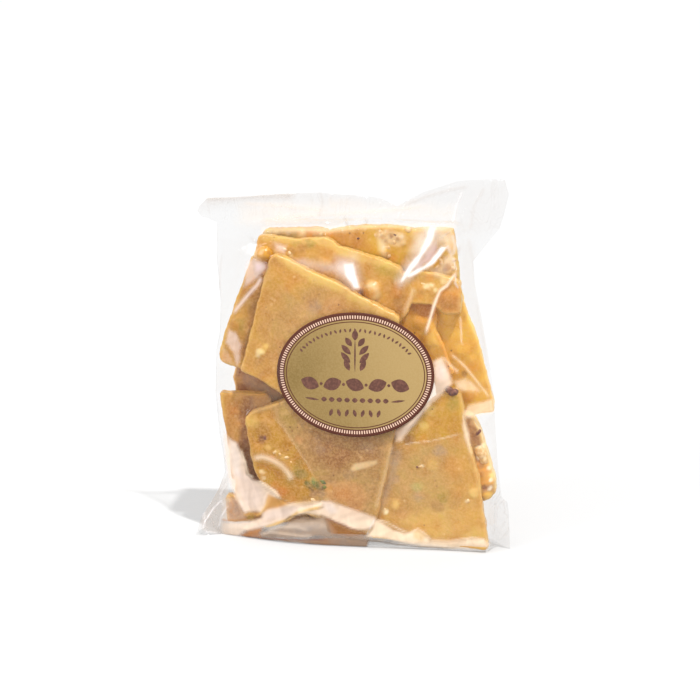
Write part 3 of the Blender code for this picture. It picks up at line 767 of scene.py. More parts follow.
def makeSlab(name, plan, look, seed):
    picked = random.Random(seed)
    cx, cz = middleOf(plan["corners"])
    corners = [(x - cx, z - cz) for x, z in plan["corners"]]
    mesh = brokenSolid(plan, corners, look)
    points = pointsOf(mesh)
    normals = np.empty(len(mesh.vertices) * 3, np.float32)
    mesh.vertices.foreach_get("normal", normals)
    normals = normals.reshape(-1, 3).astype(float)
    x, z = points[:, 0] + cx, points[:, 2] + cz
    facing = smoothStep(0.5, 0.9, np.abs(normals[:, 1]))
    toFront = smoothStep(0.3, -0.3, normals[:, 1])
    inner = insideBy(points[:, 0], points[:, 2], corners)

    def waves(name, shift):
        height, size = look[name]
        return wave(points, size, seed + shift) * height

    swell = waves("swell", 0) + waves("ripple", 3)
    for lx, lz, radius, height in plan.get("lumps", []):  # nuts that swell the candy from below
        away = np.hypot(x - lx, z - lz) + wave(points, 4, seed + 2) * radius * 0.15
        swell += toFront * height * np.sqrt(smoothStep(radius, 0, away))
    for _ in range(look["humps"]):
        hx, hz = picked.choice(corners)
        share = picked.uniform(0.1, 0.85)
        away = np.hypot(points[:, 0] - hx * share, points[:, 2] - hz * share)
        here = np.sign(normals[:, 1]) == picked.choice((-1, 1))
        height = picked.uniform(*look["humpHeight"])
        swell += here * height * smoothStep(picked.uniform(*look["humpSize"]), 0, away)
    calm = smoothStep(0, 3, inner)
    ragged = waves("ragged", 5) + waves("splinter", 9)
    points += normals * (facing * swell * calm + (1 - facing) * ragged)[:, None]
    tone = np.tile(np.array(tones[plan["tone"]]), (len(points), 1))

    def tintTowards(share, colour):
        return tone * (1 - share[:, None]) + np.array(tones[colour]) * share[:, None]

    # the slab's own colours, with the painted shade and painted light among the patches and stains
    for colour, strength, soft, outline in plan.get("patches", []):
        inside = insideBy(x, z, outline) + wave(points, 7, seed + 13) * soft * 0.6
        tone = tintTowards(smoothStep(-soft, soft, inside) * strength * toFront, colour)
    for sx, sz, radius, colour, strength in plan.get("stainsAndShade", []):
        away = np.hypot(x - sx, z - sz) + wave(points, max(radius, 1.5), seed + 11) * radius * 0.4
        tone = tintTowards(smoothStep(radius, radius * 0.3, away) * strength * toFront, colour)
    rim = (1 - facing) * 0.7 + 0.35 * smoothStep(look["paleRim"], 0.2, inner) * facing
    tone = tintTowards(rim * plan.get("rim", 1.0), "snapped")
    tone *= np.array(plan.get("tint", (1, 1, 1)))
    tone = tintTowards(smoothStep(0.3, 0.8, normals[:, 1]), picked.choice(look["backTones"]))
    paintPoints(mesh, "tone", tone)
    putPoints(mesh, points)
    mesh.transform(slabPlace(plan))
    mesh.transform(Matrix.Scale(mm, 4) @ Matrix.Translation(centring))
    return intoPack(newObject("slab_" + name, mesh, brittleFinish), "bag")


print("slabs")
slabPieces = [makeSlab(name, plan, slabLook, seed) for seed, (name, plan) in enumerate(slabs.items())]


nutLook = {
    "seed": 5,
    "size": (1.6, 2.8),  # mm, half length
    "sunk": 0.62,  # share of the size
    "sunkBehind": 0.45,
    "uneven": 0.28,
    "unevenBall": 0.04,
}

# the ones that show from the front: slab, x, z, size, how far it stands out, in mm
almondSpots = [
    ("upperMiddle", -28.5, 133.3, 1.3, 0.3), ("upperMiddle", -31, 135.2, 1.0, 0.3),
    ("topRight", 12.2, 142.2, 1.9, 0.5), ("topRight", 9.5, 141.3, 1.3, 0.4),
    ("topRight", 14.6, 135.6, 1.5, 0.4), ("topRight", 15.4, 132.2, 1.2, 0.4),
    ("topRight", 24, 144.0, 1.6, 0.5), ("topRight", 18, 138.2, 1.0, 0.3),
    ("topRight", 41.6, 132.4, 1.9, 0.6), ("topRight", 39.2, 129.8, 1.6, 0.5),
    ("topRight", 44.2, 130.8, 1.4, 0.5), ("topRight", 44.3, 127.3, 1.2, 0.5),
    ("topRight", 37.0, 127.4, 1.3, 0.4), ("topRight", 42.5, 136, 1.5, 0.4),
    ("shoulder", 31.8, 119.7, 2.3, 0.3), ("shoulder", 36.6, 119.3, 1.3, 0.3),
    ("upperLeft", -40.3, 91.4, 1.7, 0.05), ("lowerLeft", -32.4, 41.6, 0.9, 0.3),
    ("lowerLeft", -29.4, 40.2, 1.0, 0.3), ("lowerLeft", -34.9, 42.6, 0.8, 0.3),
    ("lowerLeft", -27.2, 38.2, 0.7, 0.3), ("lowerLeft", -40.8, 32.2, 1.6, 0.3),
    ("lowerLeft", -17.2, 20.6, 0.9, 0.4), ("lowerRight", 31.7, 37.6, 0.9, 0.3),
    ("lowerRight", 53.6, 22.6, 0.9, 0.3), ("lowerRight", 15.8, 16.4, 1.4, 0.3),
    ("edgeOn", 58.6, 43.6, 3.0, 0.9), ("edgeOn", 59.8, 40.6, 2.6, 0.9),
    ("bottomLeft", -57.6, 15.2, 1.3, 0.3),
]
skinSpots = [
    ("upperMiddle", 2.8, 115.2, 1.6, 0.9), ("topRight", 18.2, 141.6, 1.0, 0.2),
    ("lowerRight", 44.4, 73.8, 2.2, 1.3), ("lowerRight", 43.2, 74.8, 1.4, 1.2),
    ("lowerRight", 46.2, 72.9, 1.7, 1.2), ("lowerLeft", -39.3, 49.2, 1.3, 0.05),
    ("lowerRight", 30.2, 37.3, 0.6, 0.3), ("bottomLeft", -55, 11.6, 1.1, 0.2),
    ("edgeOn", 57.2, 53, 1.6, 0.2), ("edgeOn", 62.8, 28, 0.8, 0.3), ("topRight", 1.5, 139.5, 0.6, 0.2),
]
greenSpots = [
    ("lowerLeft", -16.6, 28.4, 2.3, 0.3), ("lowerLeft", -13.2, 29.4, 1.8, 0.3),
    ("lowerLeft", -12.4, 27, 1.6, 0.3), ("lowerLeft", -19.4, 28.6, 1.7, 0.2),
]
ballSpots = [("upperMiddle", -40.0, 132.4, 4.2, 3.0)]


def addChunk(shape, place, size, seed, plain=False):
    # a bit of nut: a ball pulled out of round, stretched and turned, or nearly a ball if it is plain
    picked = random.Random(seed)
    uneven = nutLook["unevenBall" if plain else "uneven"]
    made = bmesh.ops.create_icosphere(shape, subdivisions=3 if plain else 2, radius=size)["verts"]
    for v in made:
        v.co *= 1 + uneven * noise.noise(v.co / size * 1.3 + Vector((seed, 0, 0)))
    if not plain:
        stretch = (picked.uniform(1.0, 1.5), picked.uniform(0.55, 0.8), picked.uniform(0.65, 1.0))
        bmesh.ops.scale(shape, verts=made, vec=stretch)
        bmesh.ops.rotate(shape, verts=made, matrix=Matrix.Rotation(picked.uniform(0, 6.3), 3, "Y"))
    bmesh.ops.translate(shape, verts=made, vec=place)


def makeChunks(name, spots, finish, extra=0, plain=False):
    picked = random.Random(len(name) * 7 + nutLook["seed"])
    shape = bmesh.new()
    for i, (slab, x, z, size, proud) in enumerate(spots):
        deep = faceDepth(slabs[slab], x, z) - proud + (0 if plain else size * nutLook["sunk"])
        addChunk(shape, Vector((x, deep + (size if plain else 0), z)), size, i + 1, plain)
    for plan in slabs.values():  # half sunk in the backs
        if plan["depth"] < backRow:
            continue
        thick = plan.get("thickness", slabLook["thickness"])
        ring = plan["corners"]
        for i in range(extra):
            k = picked.randrange(len(ring))
            share = picked.uniform(0.1, 0.8)
            cx, cz = middleOf(ring)
            x, z = cx + (ring[k][0] - cx) * share, cz + (ring[k][1] - cz) * share
            size = picked.uniform(*nutLook["size"])
            deep = faceDepth(plan, x, z) + thick - size * nutLook["sunkBehind"]
            addChunk(shape, Vector((x, deep, z)), size, 200 + i * 3)
    toMetres(shape)
    bmesh.ops.recalc_face_normals(shape, faces=shape.faces)
    return intoPack(newObject(name, closeShape(shape, name), finish), "bag")


print("nuts")
nutPieces = [
    makeChunks("almondPieces", almondSpots, almondFinish, extra=3),
    makeChunks("almondSkins", skinSpots, skinFinish, extra=1),
    makeChunks("greenNuts", greenSpots, greenFinish),
    makeChunks("toffeeBall", ballSpots, toffeeFinish, plain=True),
]


labelLook = {
    "centre": (2.1, -13.4, 80.4),
    "halfWidth": 35.6,
    "halfHeight": 28.7,
    "thickness": 0.22,
    "lean": 0.02,
    "bendRadius": 400.0,
    "steps": 180,
    "ticks": 170,
    "tickWidth": (0.24, 0.68),  # where it starts and ends in its share of the rim
    "tickRing": (0.135, 0.285),  # from the edge, in units of 10 mm
    "border": 0.345,
    "line": (0.410, 0.455),
    "soft": 0.008,
    "darkGold": (0.195, 0.122, 0.03, 1),
    "sheenGold": (0.43, 0.29, 0.112, 1),
    "cloudGold": (0.38, 0.25, 0.095, 1),
    "grainGold": (0.52, 0.38, 0.18, 1),
    "brown": (0.075, 0.014, 0.004, 1),
    "tickTint": (0.80, 0.55, 0.42, 1),
    "rims": (0, 0.6, 1.25, 2.0, 2.75, 3.15, 3.85, 4.3, 5.0),  # rings of the paper, mm from the edge
    "field": (0.86, 0.7, 0.54, 0.38, 0.22, 0.1, 0),  # then by share of the size
    "gap": 0.12,  # from the film to the paper, mm
    "waviness": 0.16,
    "inkFoot": 0.015,  # of the print, mm above the paper
    "inkTop": 0.05,
}


def labelDepth(x, z):
    # depth of the film under the label
    across, up = x - labelLook["centre"][0], z - labelLook["centre"][2]
    return labelLook["centre"][1] + labelLook["lean"] * up + across**2 / (2 * labelLook["bendRadius"])


def paperDepth(x, z):
    # outer face of the paper, with the faint swells of what it is stuck to
    swell = noise.noise(Vector((x / 16, 0.4, z / 16)))
    proud = labelLook["gap"] + labelLook["thickness"] + labelLook["waviness"] * (1 + swell)
    return labelDepth(x, z) - proud


def makeLabelFinish(look):
    finish = Finish("goldPaper")
    uv = finish.add("ShaderNodeUVMap", {"uv_map": "rim"})
    turn, rim = finish.axis(uv, 0), finish.axis(uv, 1)
    soft = look["soft"]
    outer = finish.band(rim, look["border"] - soft, look["border"] + soft, 1.0, 0.0)
    line = finish.stripe(rim, *look["line"], soft)
    stroke = finish.maths("FRACT", turn * look["ticks"])
    tick = finish.stripe(stroke, *look["tickWidth"], 0.06) * finish.stripe(rim, *look["tickRing"], soft)
    grain = finish.noise(1400, 2)
    cloud = finish.noise(30, 2)
    across, up = finish.axis(finish.coords(), 0), finish.axis(finish.coords(), 2)
    # painted sheen: the gold grows lighter to the right and a little upwards, standing in for the light the
    # paper catches on its right side
    slant = finish.band(across + (up - 0.082) * 0.4, -0.034, 0.036)  # metres
    gold = finish.blend(slant, look["darkGold"], look["sheenGold"])
    gold = finish.blend(finish.band(cloud, 0.35, 0.65, 0.0, 0.3), gold, look["cloudGold"])
    gold = finish.blend(finish.band(grain, 0.3, 0.7, 0.0, 0.16), gold, look["grainGold"])
    ink = outer + line - tick * outer
    base = finish.blend(ink, gold, look["brown"])
    base = finish.blend(tick, base, look["tickTint"])
    shader = finish.principled({
        "Base Color": base,
        "Roughness": finish.band(ink, 0.2, 0.8, 0.42, 0.6),
        "Specular IOR Level": 0.35,
        "Metallic": finish.band(ink, 0.2, 0.8, 0.35, 0.0),
        "Normal": finish.bump(grain, 0.12, 0.0002),
    })
    return finish.surface(shader)


def makeLabel(look):
    rims, field = look["rims"], look["field"]
    a, b = look["halfWidth"], look["halfHeight"]
    shape = bmesh.new()
    count = len(rims) + len(field)
    radius = [shape.verts.new((count - 1 - i, 0, 0)) for i in range(count)]
    edges = [shape.edges.new(pair) for pair in zip(radius, radius[1:])]
    bmesh.ops.spin(shape, geom=radius + edges, cent=(0, 0, 0), axis=(0, -1, 0), dvec=(0, 0, 0),
                   angle=2 * math.pi, steps=look["steps"], use_merge=True)
    bmesh.ops.remove_doubles(shape, verts=shape.verts, dist=0.0001)
    turns = np.linspace(0, 2 * math.pi, 721)
    lengths = np.r_[0, np.cumsum(np.hypot(np.diff(a * np.cos(turns)), np.diff(b * np.sin(turns))))]
    uv = shape.loops.layers.uv.new("rim")
    where = {}
    for v in shape.verts:
        ring = count - 1 - round(math.hypot(v.co.x, v.co.z))
        turn = math.atan2(v.co.z, v.co.x) % (2 * math.pi)
        depth = rims[ring] if ring < len(rims) else rims[-1]
        size = 1 if ring < len(rims) else field[ring - len(rims)]
        nx, nz = math.cos(turn) / a, math.sin(turn) / b
        scale = depth / math.hypot(nx, nz)
        x = (a * math.cos(turn) - nx * scale) * size
        z = (b * math.sin(turn) - nz * scale) * size
        where[v] = (np.interp(turn, turns, lengths) / lengths[-1], (depth if size == 1 else 8) / 10)
        x, z = x + look["centre"][0], z + look["centre"][2]
        v.co = (x, paperDepth(x, z), z)
    for face in shape.faces:
        around = [where[loop.vert][0] for loop in face.loops]
        wraps = max(around) - min(around) > 0.5
        for loop in face.loops:
            u, v = where[loop.vert]
            loop[uv].uv = (u + 1 if wraps and u < 0.5 else u, v)
    bmesh.ops.recalc_face_normals(shape, faces=shape.faces)
    if next(iter(shape.faces)).normal.y > 0:
        bmesh.ops.reverse_faces(shape, faces=shape.faces)
    toMetres(shape)
    made = newObject("labelPaper", closeShape(shape, "labelPaper"), makeLabelFinish(look))
    paper = made.modifiers.new("paper", "SOLIDIFY")
    paper.thickness = look["thickness"] * mm
    paper.offset = -1
    return intoPack(made, "label", "label")


def stampOval(art, x, z, length, width, turn=0.0, pinch=0.6):
    # a pointed oval, flat, centred on x and z
    made = bmesh.ops.create_circle(art, cap_ends=True, segments=24, radius=1.0)["verts"]
    for v in made:
        taper = max(0.0, 1 - v.co.x**2) ** (pinch / 2)
        v.co = (v.co.x * length / 2, 0, v.co.y * width / 2 * taper)
    bmesh.ops.rotate(art, verts=made, matrix=Matrix.Rotation(-turn, 3, "Y"))
    bmesh.ops.translate(art, verts=made, vec=(x, 0, z))


def makeLabelPrint(look):
    art = bmesh.new()

    def row(count, step, up, length, width, tilt, pinch):
        for i in range(count):
            stampOval(art, (i - (count - 1) / 2) * step, up, length, width, tilt if i % 2 else -tilt, pinch)

    leaves = ((3.6, 4.6, 5.6, 1.15), (4.2, 8.0, 6.4, 0.85), (4.0, 11.6, 6.0, 0.8), (2.9, 15.2, 4.8, 0.95))
    for side in (-1, 1):  # almond sprig
        for reach, up, length, turn in leaves:
            stampOval(art, side * reach, up, length, 2.5, turn if side > 0 else math.pi - turn, 0.9)
        stampOval(art, side * 19.5, -11.6, 6.5, 1.0, side * 0.12, 1.0)
    stampOval(art, 0, 9.0, 15.5, 0.7, math.pi / 2, 1.0)
    stampOval(art, 0, 18.4, 5.0, 2.8, math.pi / 2, 0.9)
    row(5, 10.2, -4.4, 8.6, 5.8, 0.35, 0.7)  # almonds across the middle, dots between and under them
    row(4, 10.2, -4.4, 1.4, 1.4, 0, 0.4)
    row(9, 3.5, -11.6, 2.6, 2.2, 0, 0.7)
    row(7, 3.6, -17.6, 1.7, 3.4, 0.3, 0.8)
    for i in range(27):  # small leaves along the top
        turn = math.radians(149 - i * 4.55)
        x, up = 28.4 * math.cos(turn), 20.6 * math.sin(turn)
        stampOval(art, x, up, 1.9, 0.9, turn + (0.35 if i % 2 else -0.35), 0.8)
    faces = list(art.faces)
    grown = bmesh.ops.extrude_face_region(art, geom=faces)
    raised = set(addedVerts(grown))
    for v in art.verts:
        x, z = v.co.x + look["centre"][0], v.co.z + look["centre"][2]
        proud = look["inkTop" if v in raised else "inkFoot"]
        v.co = Vector((x, paperDepth(x, z) - proud, z)) + centring
    bmesh.ops.scale(art, verts=art.verts, vec=(mm, mm, mm))
    bmesh.ops.recalc_face_normals(art, faces=art.faces)
    mesh = closeShape(art, "labelPrint")
    finish = Finish("brownInk")
    wear = finish.noise(900, 2)
    base = finish.blend(finish.band(wear, 0.4, 0.7), (0.085, 0.026, 0.014, 1), (0.14, 0.05, 0.03, 1))
    ink = finish.surface(finish.principled({"Base Color": base, "Roughness": 0.5}))
    return intoPack(newObject("labelPrint", mesh, ink, smooth=False), "label")


print("label")
makeLabel(labelLook)
makeLabelPrint(labelLook)


filmLook = {
    "columns": 190,
    "rows": 224,
    "bodyBottom": -2.0,
    "bodyTop": 146.0,
    "edgeHeights": (-2, 1, 7, 14, 19, 21, 29, 36, 48, 60, 68, 87, 96, 110, 120, 131, 138, 146),
    "leftEdge": (-70, -72.8, -71.3, -66.8, -64, -63, -60, -60.5, -62.3, -63.2, -63.8, -63, -61.3, -60.8,
                 -61.5, -62.5, -62.2, -62),
    "rightEdge": (72.8, 72.7, 72.3, 71.8, 71, 68.2, 66.8, 66.3, 65.3, 64.4, 63.5, 61, 59.3, 56.5, 54.4,
                  53.4, 58.8, 65),
    "finShares": (0, 0.3, 0.7, 1),
    "finLeft": (-62, -69, -71, -70),
    "finRight": (65, 67, 69, 67),
    "finOutlineX": (-70, -66, -42, -15, 4, 12, 19, 30, 46, 68),
    "finOutlineZ": (153.5, 157.5, 159.3, 160.8, 159, 157.6, 154.6, 161, 166.6, 168.6),
    "half": 0.35,  # half the gap between the skins where they lie together
    "pillow": 10.0,
    "clearance": 0.3,
    "baseRounding": 2.2,
    "lift": 0.15,  # how far the film's base is above the floor
    "gridHalf": 75,  # half width of the grid of heights, which are 1 mm apart
    "relaxings": 900,
    "widest": 62,  # mm from the middle, where the flat sides and bottom corners begin
    "cornerTop": 22,
    "looseBelow": 30,  # where the sides ruffle, and below the next where they crinkle
    "crinkleBelow": 34,
    "flareFrom": 8,  # mm below the top of the body, where the fin begins to sway
    "calmSides": 20,  # how fast the folds end at the sides
    "foldStretch": 0.45,
    "finFrom": 0.86,  # share of the rows that are in the body, the rest in the fin
    "sway": ((0.16, 21, 0.6), (0.05, 7, 0)),  # of the fin: share of the height, length and start
    "ruffle": ((0.5, 9, 3), (0.22, 3.5, 8)),  # height, size and seed
    "clear": (0.958, 0.957, 0.956, 1),
    "mirrorRoughness": 0.07,
    "veilRoughness": 0.4,
    "glint": 0.7,
    "leastGlint": 0.015,
    "leastHaze": 0.004,
}
# tints of the milky film and of the light and shade painted on it: white, cream, shell and pink paint
# reflections, the glare tint paints the brightest highlights, caramel, brown, taupe, slate and bark paint
# shade
milkSheenShadeTints = {
    "white": (0.80, 0.76, 0.76),
    "paintedGlare": (1.0, 0.98, 0.97),
    "pink": (0.70, 0.56, 0.50),
    "shell": (0.83, 0.635, 0.48),
    "cream": (0.89, 0.70, 0.50),
    "mauve": (0.58, 0.45, 0.50),
    "amber": (0.66, 0.40, 0.11),
    "orange": (0.62, 0.30, 0.07),
    "caramel": (0.43, 0.17, 0.04),
    "brown": (0.20, 0.06, 0.03),
    "stone": (0.47, 0.39, 0.33),
    "slate": (0.33, 0.225, 0.15),
    "taupe": (0.32, 0.19, 0.11),
    "bark": (0.16, 0.10, 0.055),
}

# folds in the skin: line as (x, z), half width, how far it stands out, how strongly it is painted, and its
# tint; pale tints paint milky film and highlights along the ridges, dark tints (caramel, brown, bark) paint
# shade beside them and along the base
frontFolds = [
    ([(47.1, 127.6), (45, 124.7), (42.4, 120.7), (39.4, 118.5), (38.1, 115.4), (36.9, 111.9), (35.7, 107.6),
      (34.5, 103.2), (33.3, 98.4)], 0.65, 0.8, 0.85, "shell"),
    ([(45.9, 124.2), (43.3, 119.7), (40.3, 117.4), (39, 114.5), (37.8, 111), (36.6, 106.7)],
     0.35, 0.0, 0.45, "caramel"),
    ([(48.4, 107), (48.9, 101.6), (49.3, 93.9)], 0.4, 0.2, 0.5, "shell"),
    ([(44.3, 90.6), (47.9, 87.4), (51.5, 83.7), (55.1, 78.9), (58.7, 74), (62.8, 68.1)],
     0.5, 0.4, 0.48, "cream"),
    ([(45.6, 91), (49.6, 87.2), (53.2, 82.9), (57.8, 76.8)], 0.5, 0.0, 0.2, "caramel"),
    ([(41.3, 89.1), (44.4, 85.3), (48.5, 81.5)], 0.5, 0.2, 0.45, "cream"),
    ([(21.7, 47.7), (28, 49.3), (36.1, 50.4), (44.1, 52.4), (50.4, 54.4)], 0.35, 0.15, 0.32, "cream"),
    ([(-46.2, 39.1), (-40.5, 40.5), (-35.9, 39.2), (-31.3, 36.5), (-28.1, 32.8), (-26.4, 29)],
     1.4, 0.4, 0.5, "cream"),
    ([(-43.9, 36.4), (-39.7, 36.1), (-35.5, 34.4), (-31.8, 31.2)], 0.8, 0.0, 0.4, "caramel"),
    ([(-36.8, 61.2), (-30.4, 54.4), (-24.4, 45.2), (-20.3, 38.8), (-15.8, 30.8)], 0.45, 0.2, 0.16, "cream"),
    ([(-40.2, 124), (-42.5, 119.8), (-46.9, 114.9), (-51.3, 109.4), (-54.8, 104.9)], 0.9, 0.3, 0.62, "pink"),
    ([(-43.1, 124.2), (-46, 119.9), (-49.4, 115.9), (-52.4, 111.9)], 0.5, 0.0, 0.35, "caramel"),
    ([(-39.3, 130.4), (-37.9, 128.2), (-39.7, 125.4), (-42.1, 123.4)], 0.45, 0.2, 0.55, "brown"),
    ([(19.8, 50.1), (17.6, 41.9), (15.3, 32.2), (13.1, 23.6), (11.3, 15.8)], 0.9, 0.2, 0.16, "cream"),
    ([(22.1, 45.8), (20.3, 38.1), (18.1, 29.5), (15.8, 21.7)], 1.4, 0.0, 0.25, "slate"),
    ([(-31.1, 17.1), (-26.9, 18.3), (-20.9, 19.1), (-14, 20.3)], 0.9, 0.5, 0.4, "cream"),
    ([(-42.6, 29.2), (-38.9, 27.2), (-34.8, 24.3), (-32.5, 21)], 0.5, 0.5, 0.7, "cream"),
    ([(-40.8, 26.4), (-38, 24.1), (-35.2, 22.3)], 0.5, 0.0, 0.3, "brown"),
    ([(-51.3, 43.3), (-48.9, 37), (-47.6, 31.3), (-44.5, 29.5)], 0.6, 0.3, 0.5, "cream"),
    ([(-41.8, 4.5), (-34.9, 7.4), (-29, 10.6), (-24.5, 14.3), (-18.5, 16.3), (-12.5, 17.5)],
     0.7, 0.3, 0.8, "amber"),
    ([(-31.5, 9), (-28, 12), (-24.7, 12.6), (-21, 11.5), (-18.2, 10.7)], 0.45, 0.2, 0.8, "bark"),
    ([(-25, 14.1), (-19.4, 14.8), (-13.1, 13.6)], 0.9, 0.2, 0.5, "cream"),
    ([(-12.2, 12.6), (-8, 10.8), (-2.5, 8.6), (3.5, 6.4), (7.6, 5.1)], 0.45, 0.3, 0.7, "brown"),
    ([(-38.2, 21), (-39.4, 16.6), (-42, 12.1), (-45.1, 9.6)], 0.45, 0.3, 0.55, "amber"),
    ([(-52.3, 17.5), (-51.4, 13.2), (-49, 10.5)], 0.35, 0.2, 0.4, "white"),
    ([(-41.7, 28.3), (-38, 26.1), (-34.3, 23.8), (-32, 20.5)], 0.6, 0.4, 0.5, "cream"),
    ([(-53.2, -2.5), (-40.6, -1.2), (-23.6, 0.4), (-7.2, 1.8)], 0.4, 0.2, 0.8, "brown"),
    ([(-43.9, 0), (-37.9, 3), (-30.7, 2.8), (-23.5, 2.5), (-16.5, 3)], 0.7, 0.2, 0.4, "shell"),
    ([(-4.8, 2.7), (4.4, 2.3), (13.6, 1.7), (22.8, 0.2), (31.9, -0.5), (41.1, -0.7), (51.7, -0.5)],
     0.4, 0.3, 0.75, "bark"),
    ([(-39.9, 3.2), (-33, 6.1), (-25.3, 6.9), (-18.8, 5.3)], 0.8, 0.2, 0.3, "shell"),
    ([(12.3, 12.2), (16.3, 11.2), (21.9, 8.2), (26.5, 6.5)], 0.5, 0.4, 0.5, "cream"),
    ([(27.4, 6.5), (31.1, 8.6), (34.3, 6.4), (37.1, 3.6), (45.7, 3.5), (55.8, 5.5), (61.7, 4.7)],
     0.45, 0.4, 0.4, "cream"),
    ([(11.3, 13), (9, 8.1), (7.2, 4.1)], 0.35, 0.2, 0.35, "white"),
    ([(35.9, 145.3), (36.5, 142.3), (37, 138)], 0.4, 0.2, 0.5, "stone"),
    ([(41.5, 138.9), (43.3, 135.4), (45.2, 131), (46.7, 126.8)], 0.4, 0.3, 0.6, "white"),
    ([(44, 143.3), (45.5, 139), (45.1, 133.6)], 0.45, 0.2, 0.5, "white"),
    ([(39.2, 141.4), (41.8, 143.7), (43.5, 144.6)], 0.35, 0.2, 0.5, "stone"),
    ([(46.3, 126), (45.9, 121.9), (47.7, 119.2)], 0.35, 0.2, 0.5, "white"),
    ([(-70.1, 14.2), (-70.6, 10.2), (-69.4, 4.9), (-70.4, 1)], 0.35, 0.3, 0.75, "white"),
    ([(-61.5, 15.5), (-65.6, 11), (-68.6, 6.6), (-70.3, 3.5)], 0.3, 0.3, 0.7, "white"),
    ([(-58.4, 13.1), (-61.6, 8), (-63.4, 1.2)], 0.3, 0.3, 0.6, "white"),
    ([(-58.7, 24.8), (-62.5, 17.7), (-61, 11.7)], 0.25, 0.2, 0.45, "white"),
    ([(-70.4, 0.5), (-66.5, -0.9), (-62.1, -2.4), (-57.2, -2.8)], 0.35, 0.1, 0.6, "white"),
    ([(-65.2, 20.8), (-68.2, 14.3), (-69.1, 9.4)], 0.3, 0.2, 0.3, "stone"),
    ([(-69.3, 157), (-55.3, 158.7), (-41, 159.2), (-24, 159.6)], 1.8, 0.1, 0.4, "stone"),
    ([(-57.4, 17.7), (-55.9, 14), (-57, 9.3)], 0.45, 0.3, 0.6, "caramel"),
    ([(-54.3, 16.7), (-53.9, 12.8), (-52.5, 9)], 0.4, 0.2, 0.45, "brown"),
    ([(-59.4, 12.9), (-57.5, 10.2), (-53.6, 8.3)], 0.45, 0.2, 0.5, "caramel"),
    ([(-62.8, 5.5), (-55.1, 6.2), (-48.6, 7.9)], 0.5, 0.2, 0.5, "caramel"),
    ([(-51.5, 9.7), (-47, 10.8), (-41.6, 11.6)], 0.9, 0.3, 0.55, "orange"),
    ([(-50.8, 155.8), (-37.6, 154.8), (-24.1, 153.7), (-10.7, 152)], 0.9, 0.2, 0.2, "shell"),
    ([(-15.1, 162), (-13.8, 156.1), (-15.6, 149.7)], 0.7, 0.3, 0.2, "stone"),
    ([(-38.6, 148.9), (-24.2, 149.9), (-4, 151.1), (18.1, 152.9), (33.9, 155.3)], 0.8, 0.2, 0.22, "shell"),
    ([(20.4, 154.4), (31.6, 159.2), (42.7, 162.7), (51.6, 164.6)], 0.8, 0.3, 0.22, "stone"),
    ([(43.9, 146.8), (45.5, 155.6), (48.5, 162.8)], 0.6, 0.3, 0.3, "white"),
    ([(52, 144.3), (53.5, 155.8), (58.7, 165.1)], 0.7, 0.3, 0.16, "stone"),
    ([(-59.8, 133.8), (-62, 110.6), (-63, 87.5)], 0.5, 0.1, 0.2, "stone"),
    ([(55.2, 113.8), (58.7, 95.6), (61.2, 79.6)], 0.7, 0.1, 0.16, "stone"),
    ([(51.1, 142.9), (53.6, 130.9), (55.6, 117.4)], 0.6, 0.1, 0.16, "stone"),
]
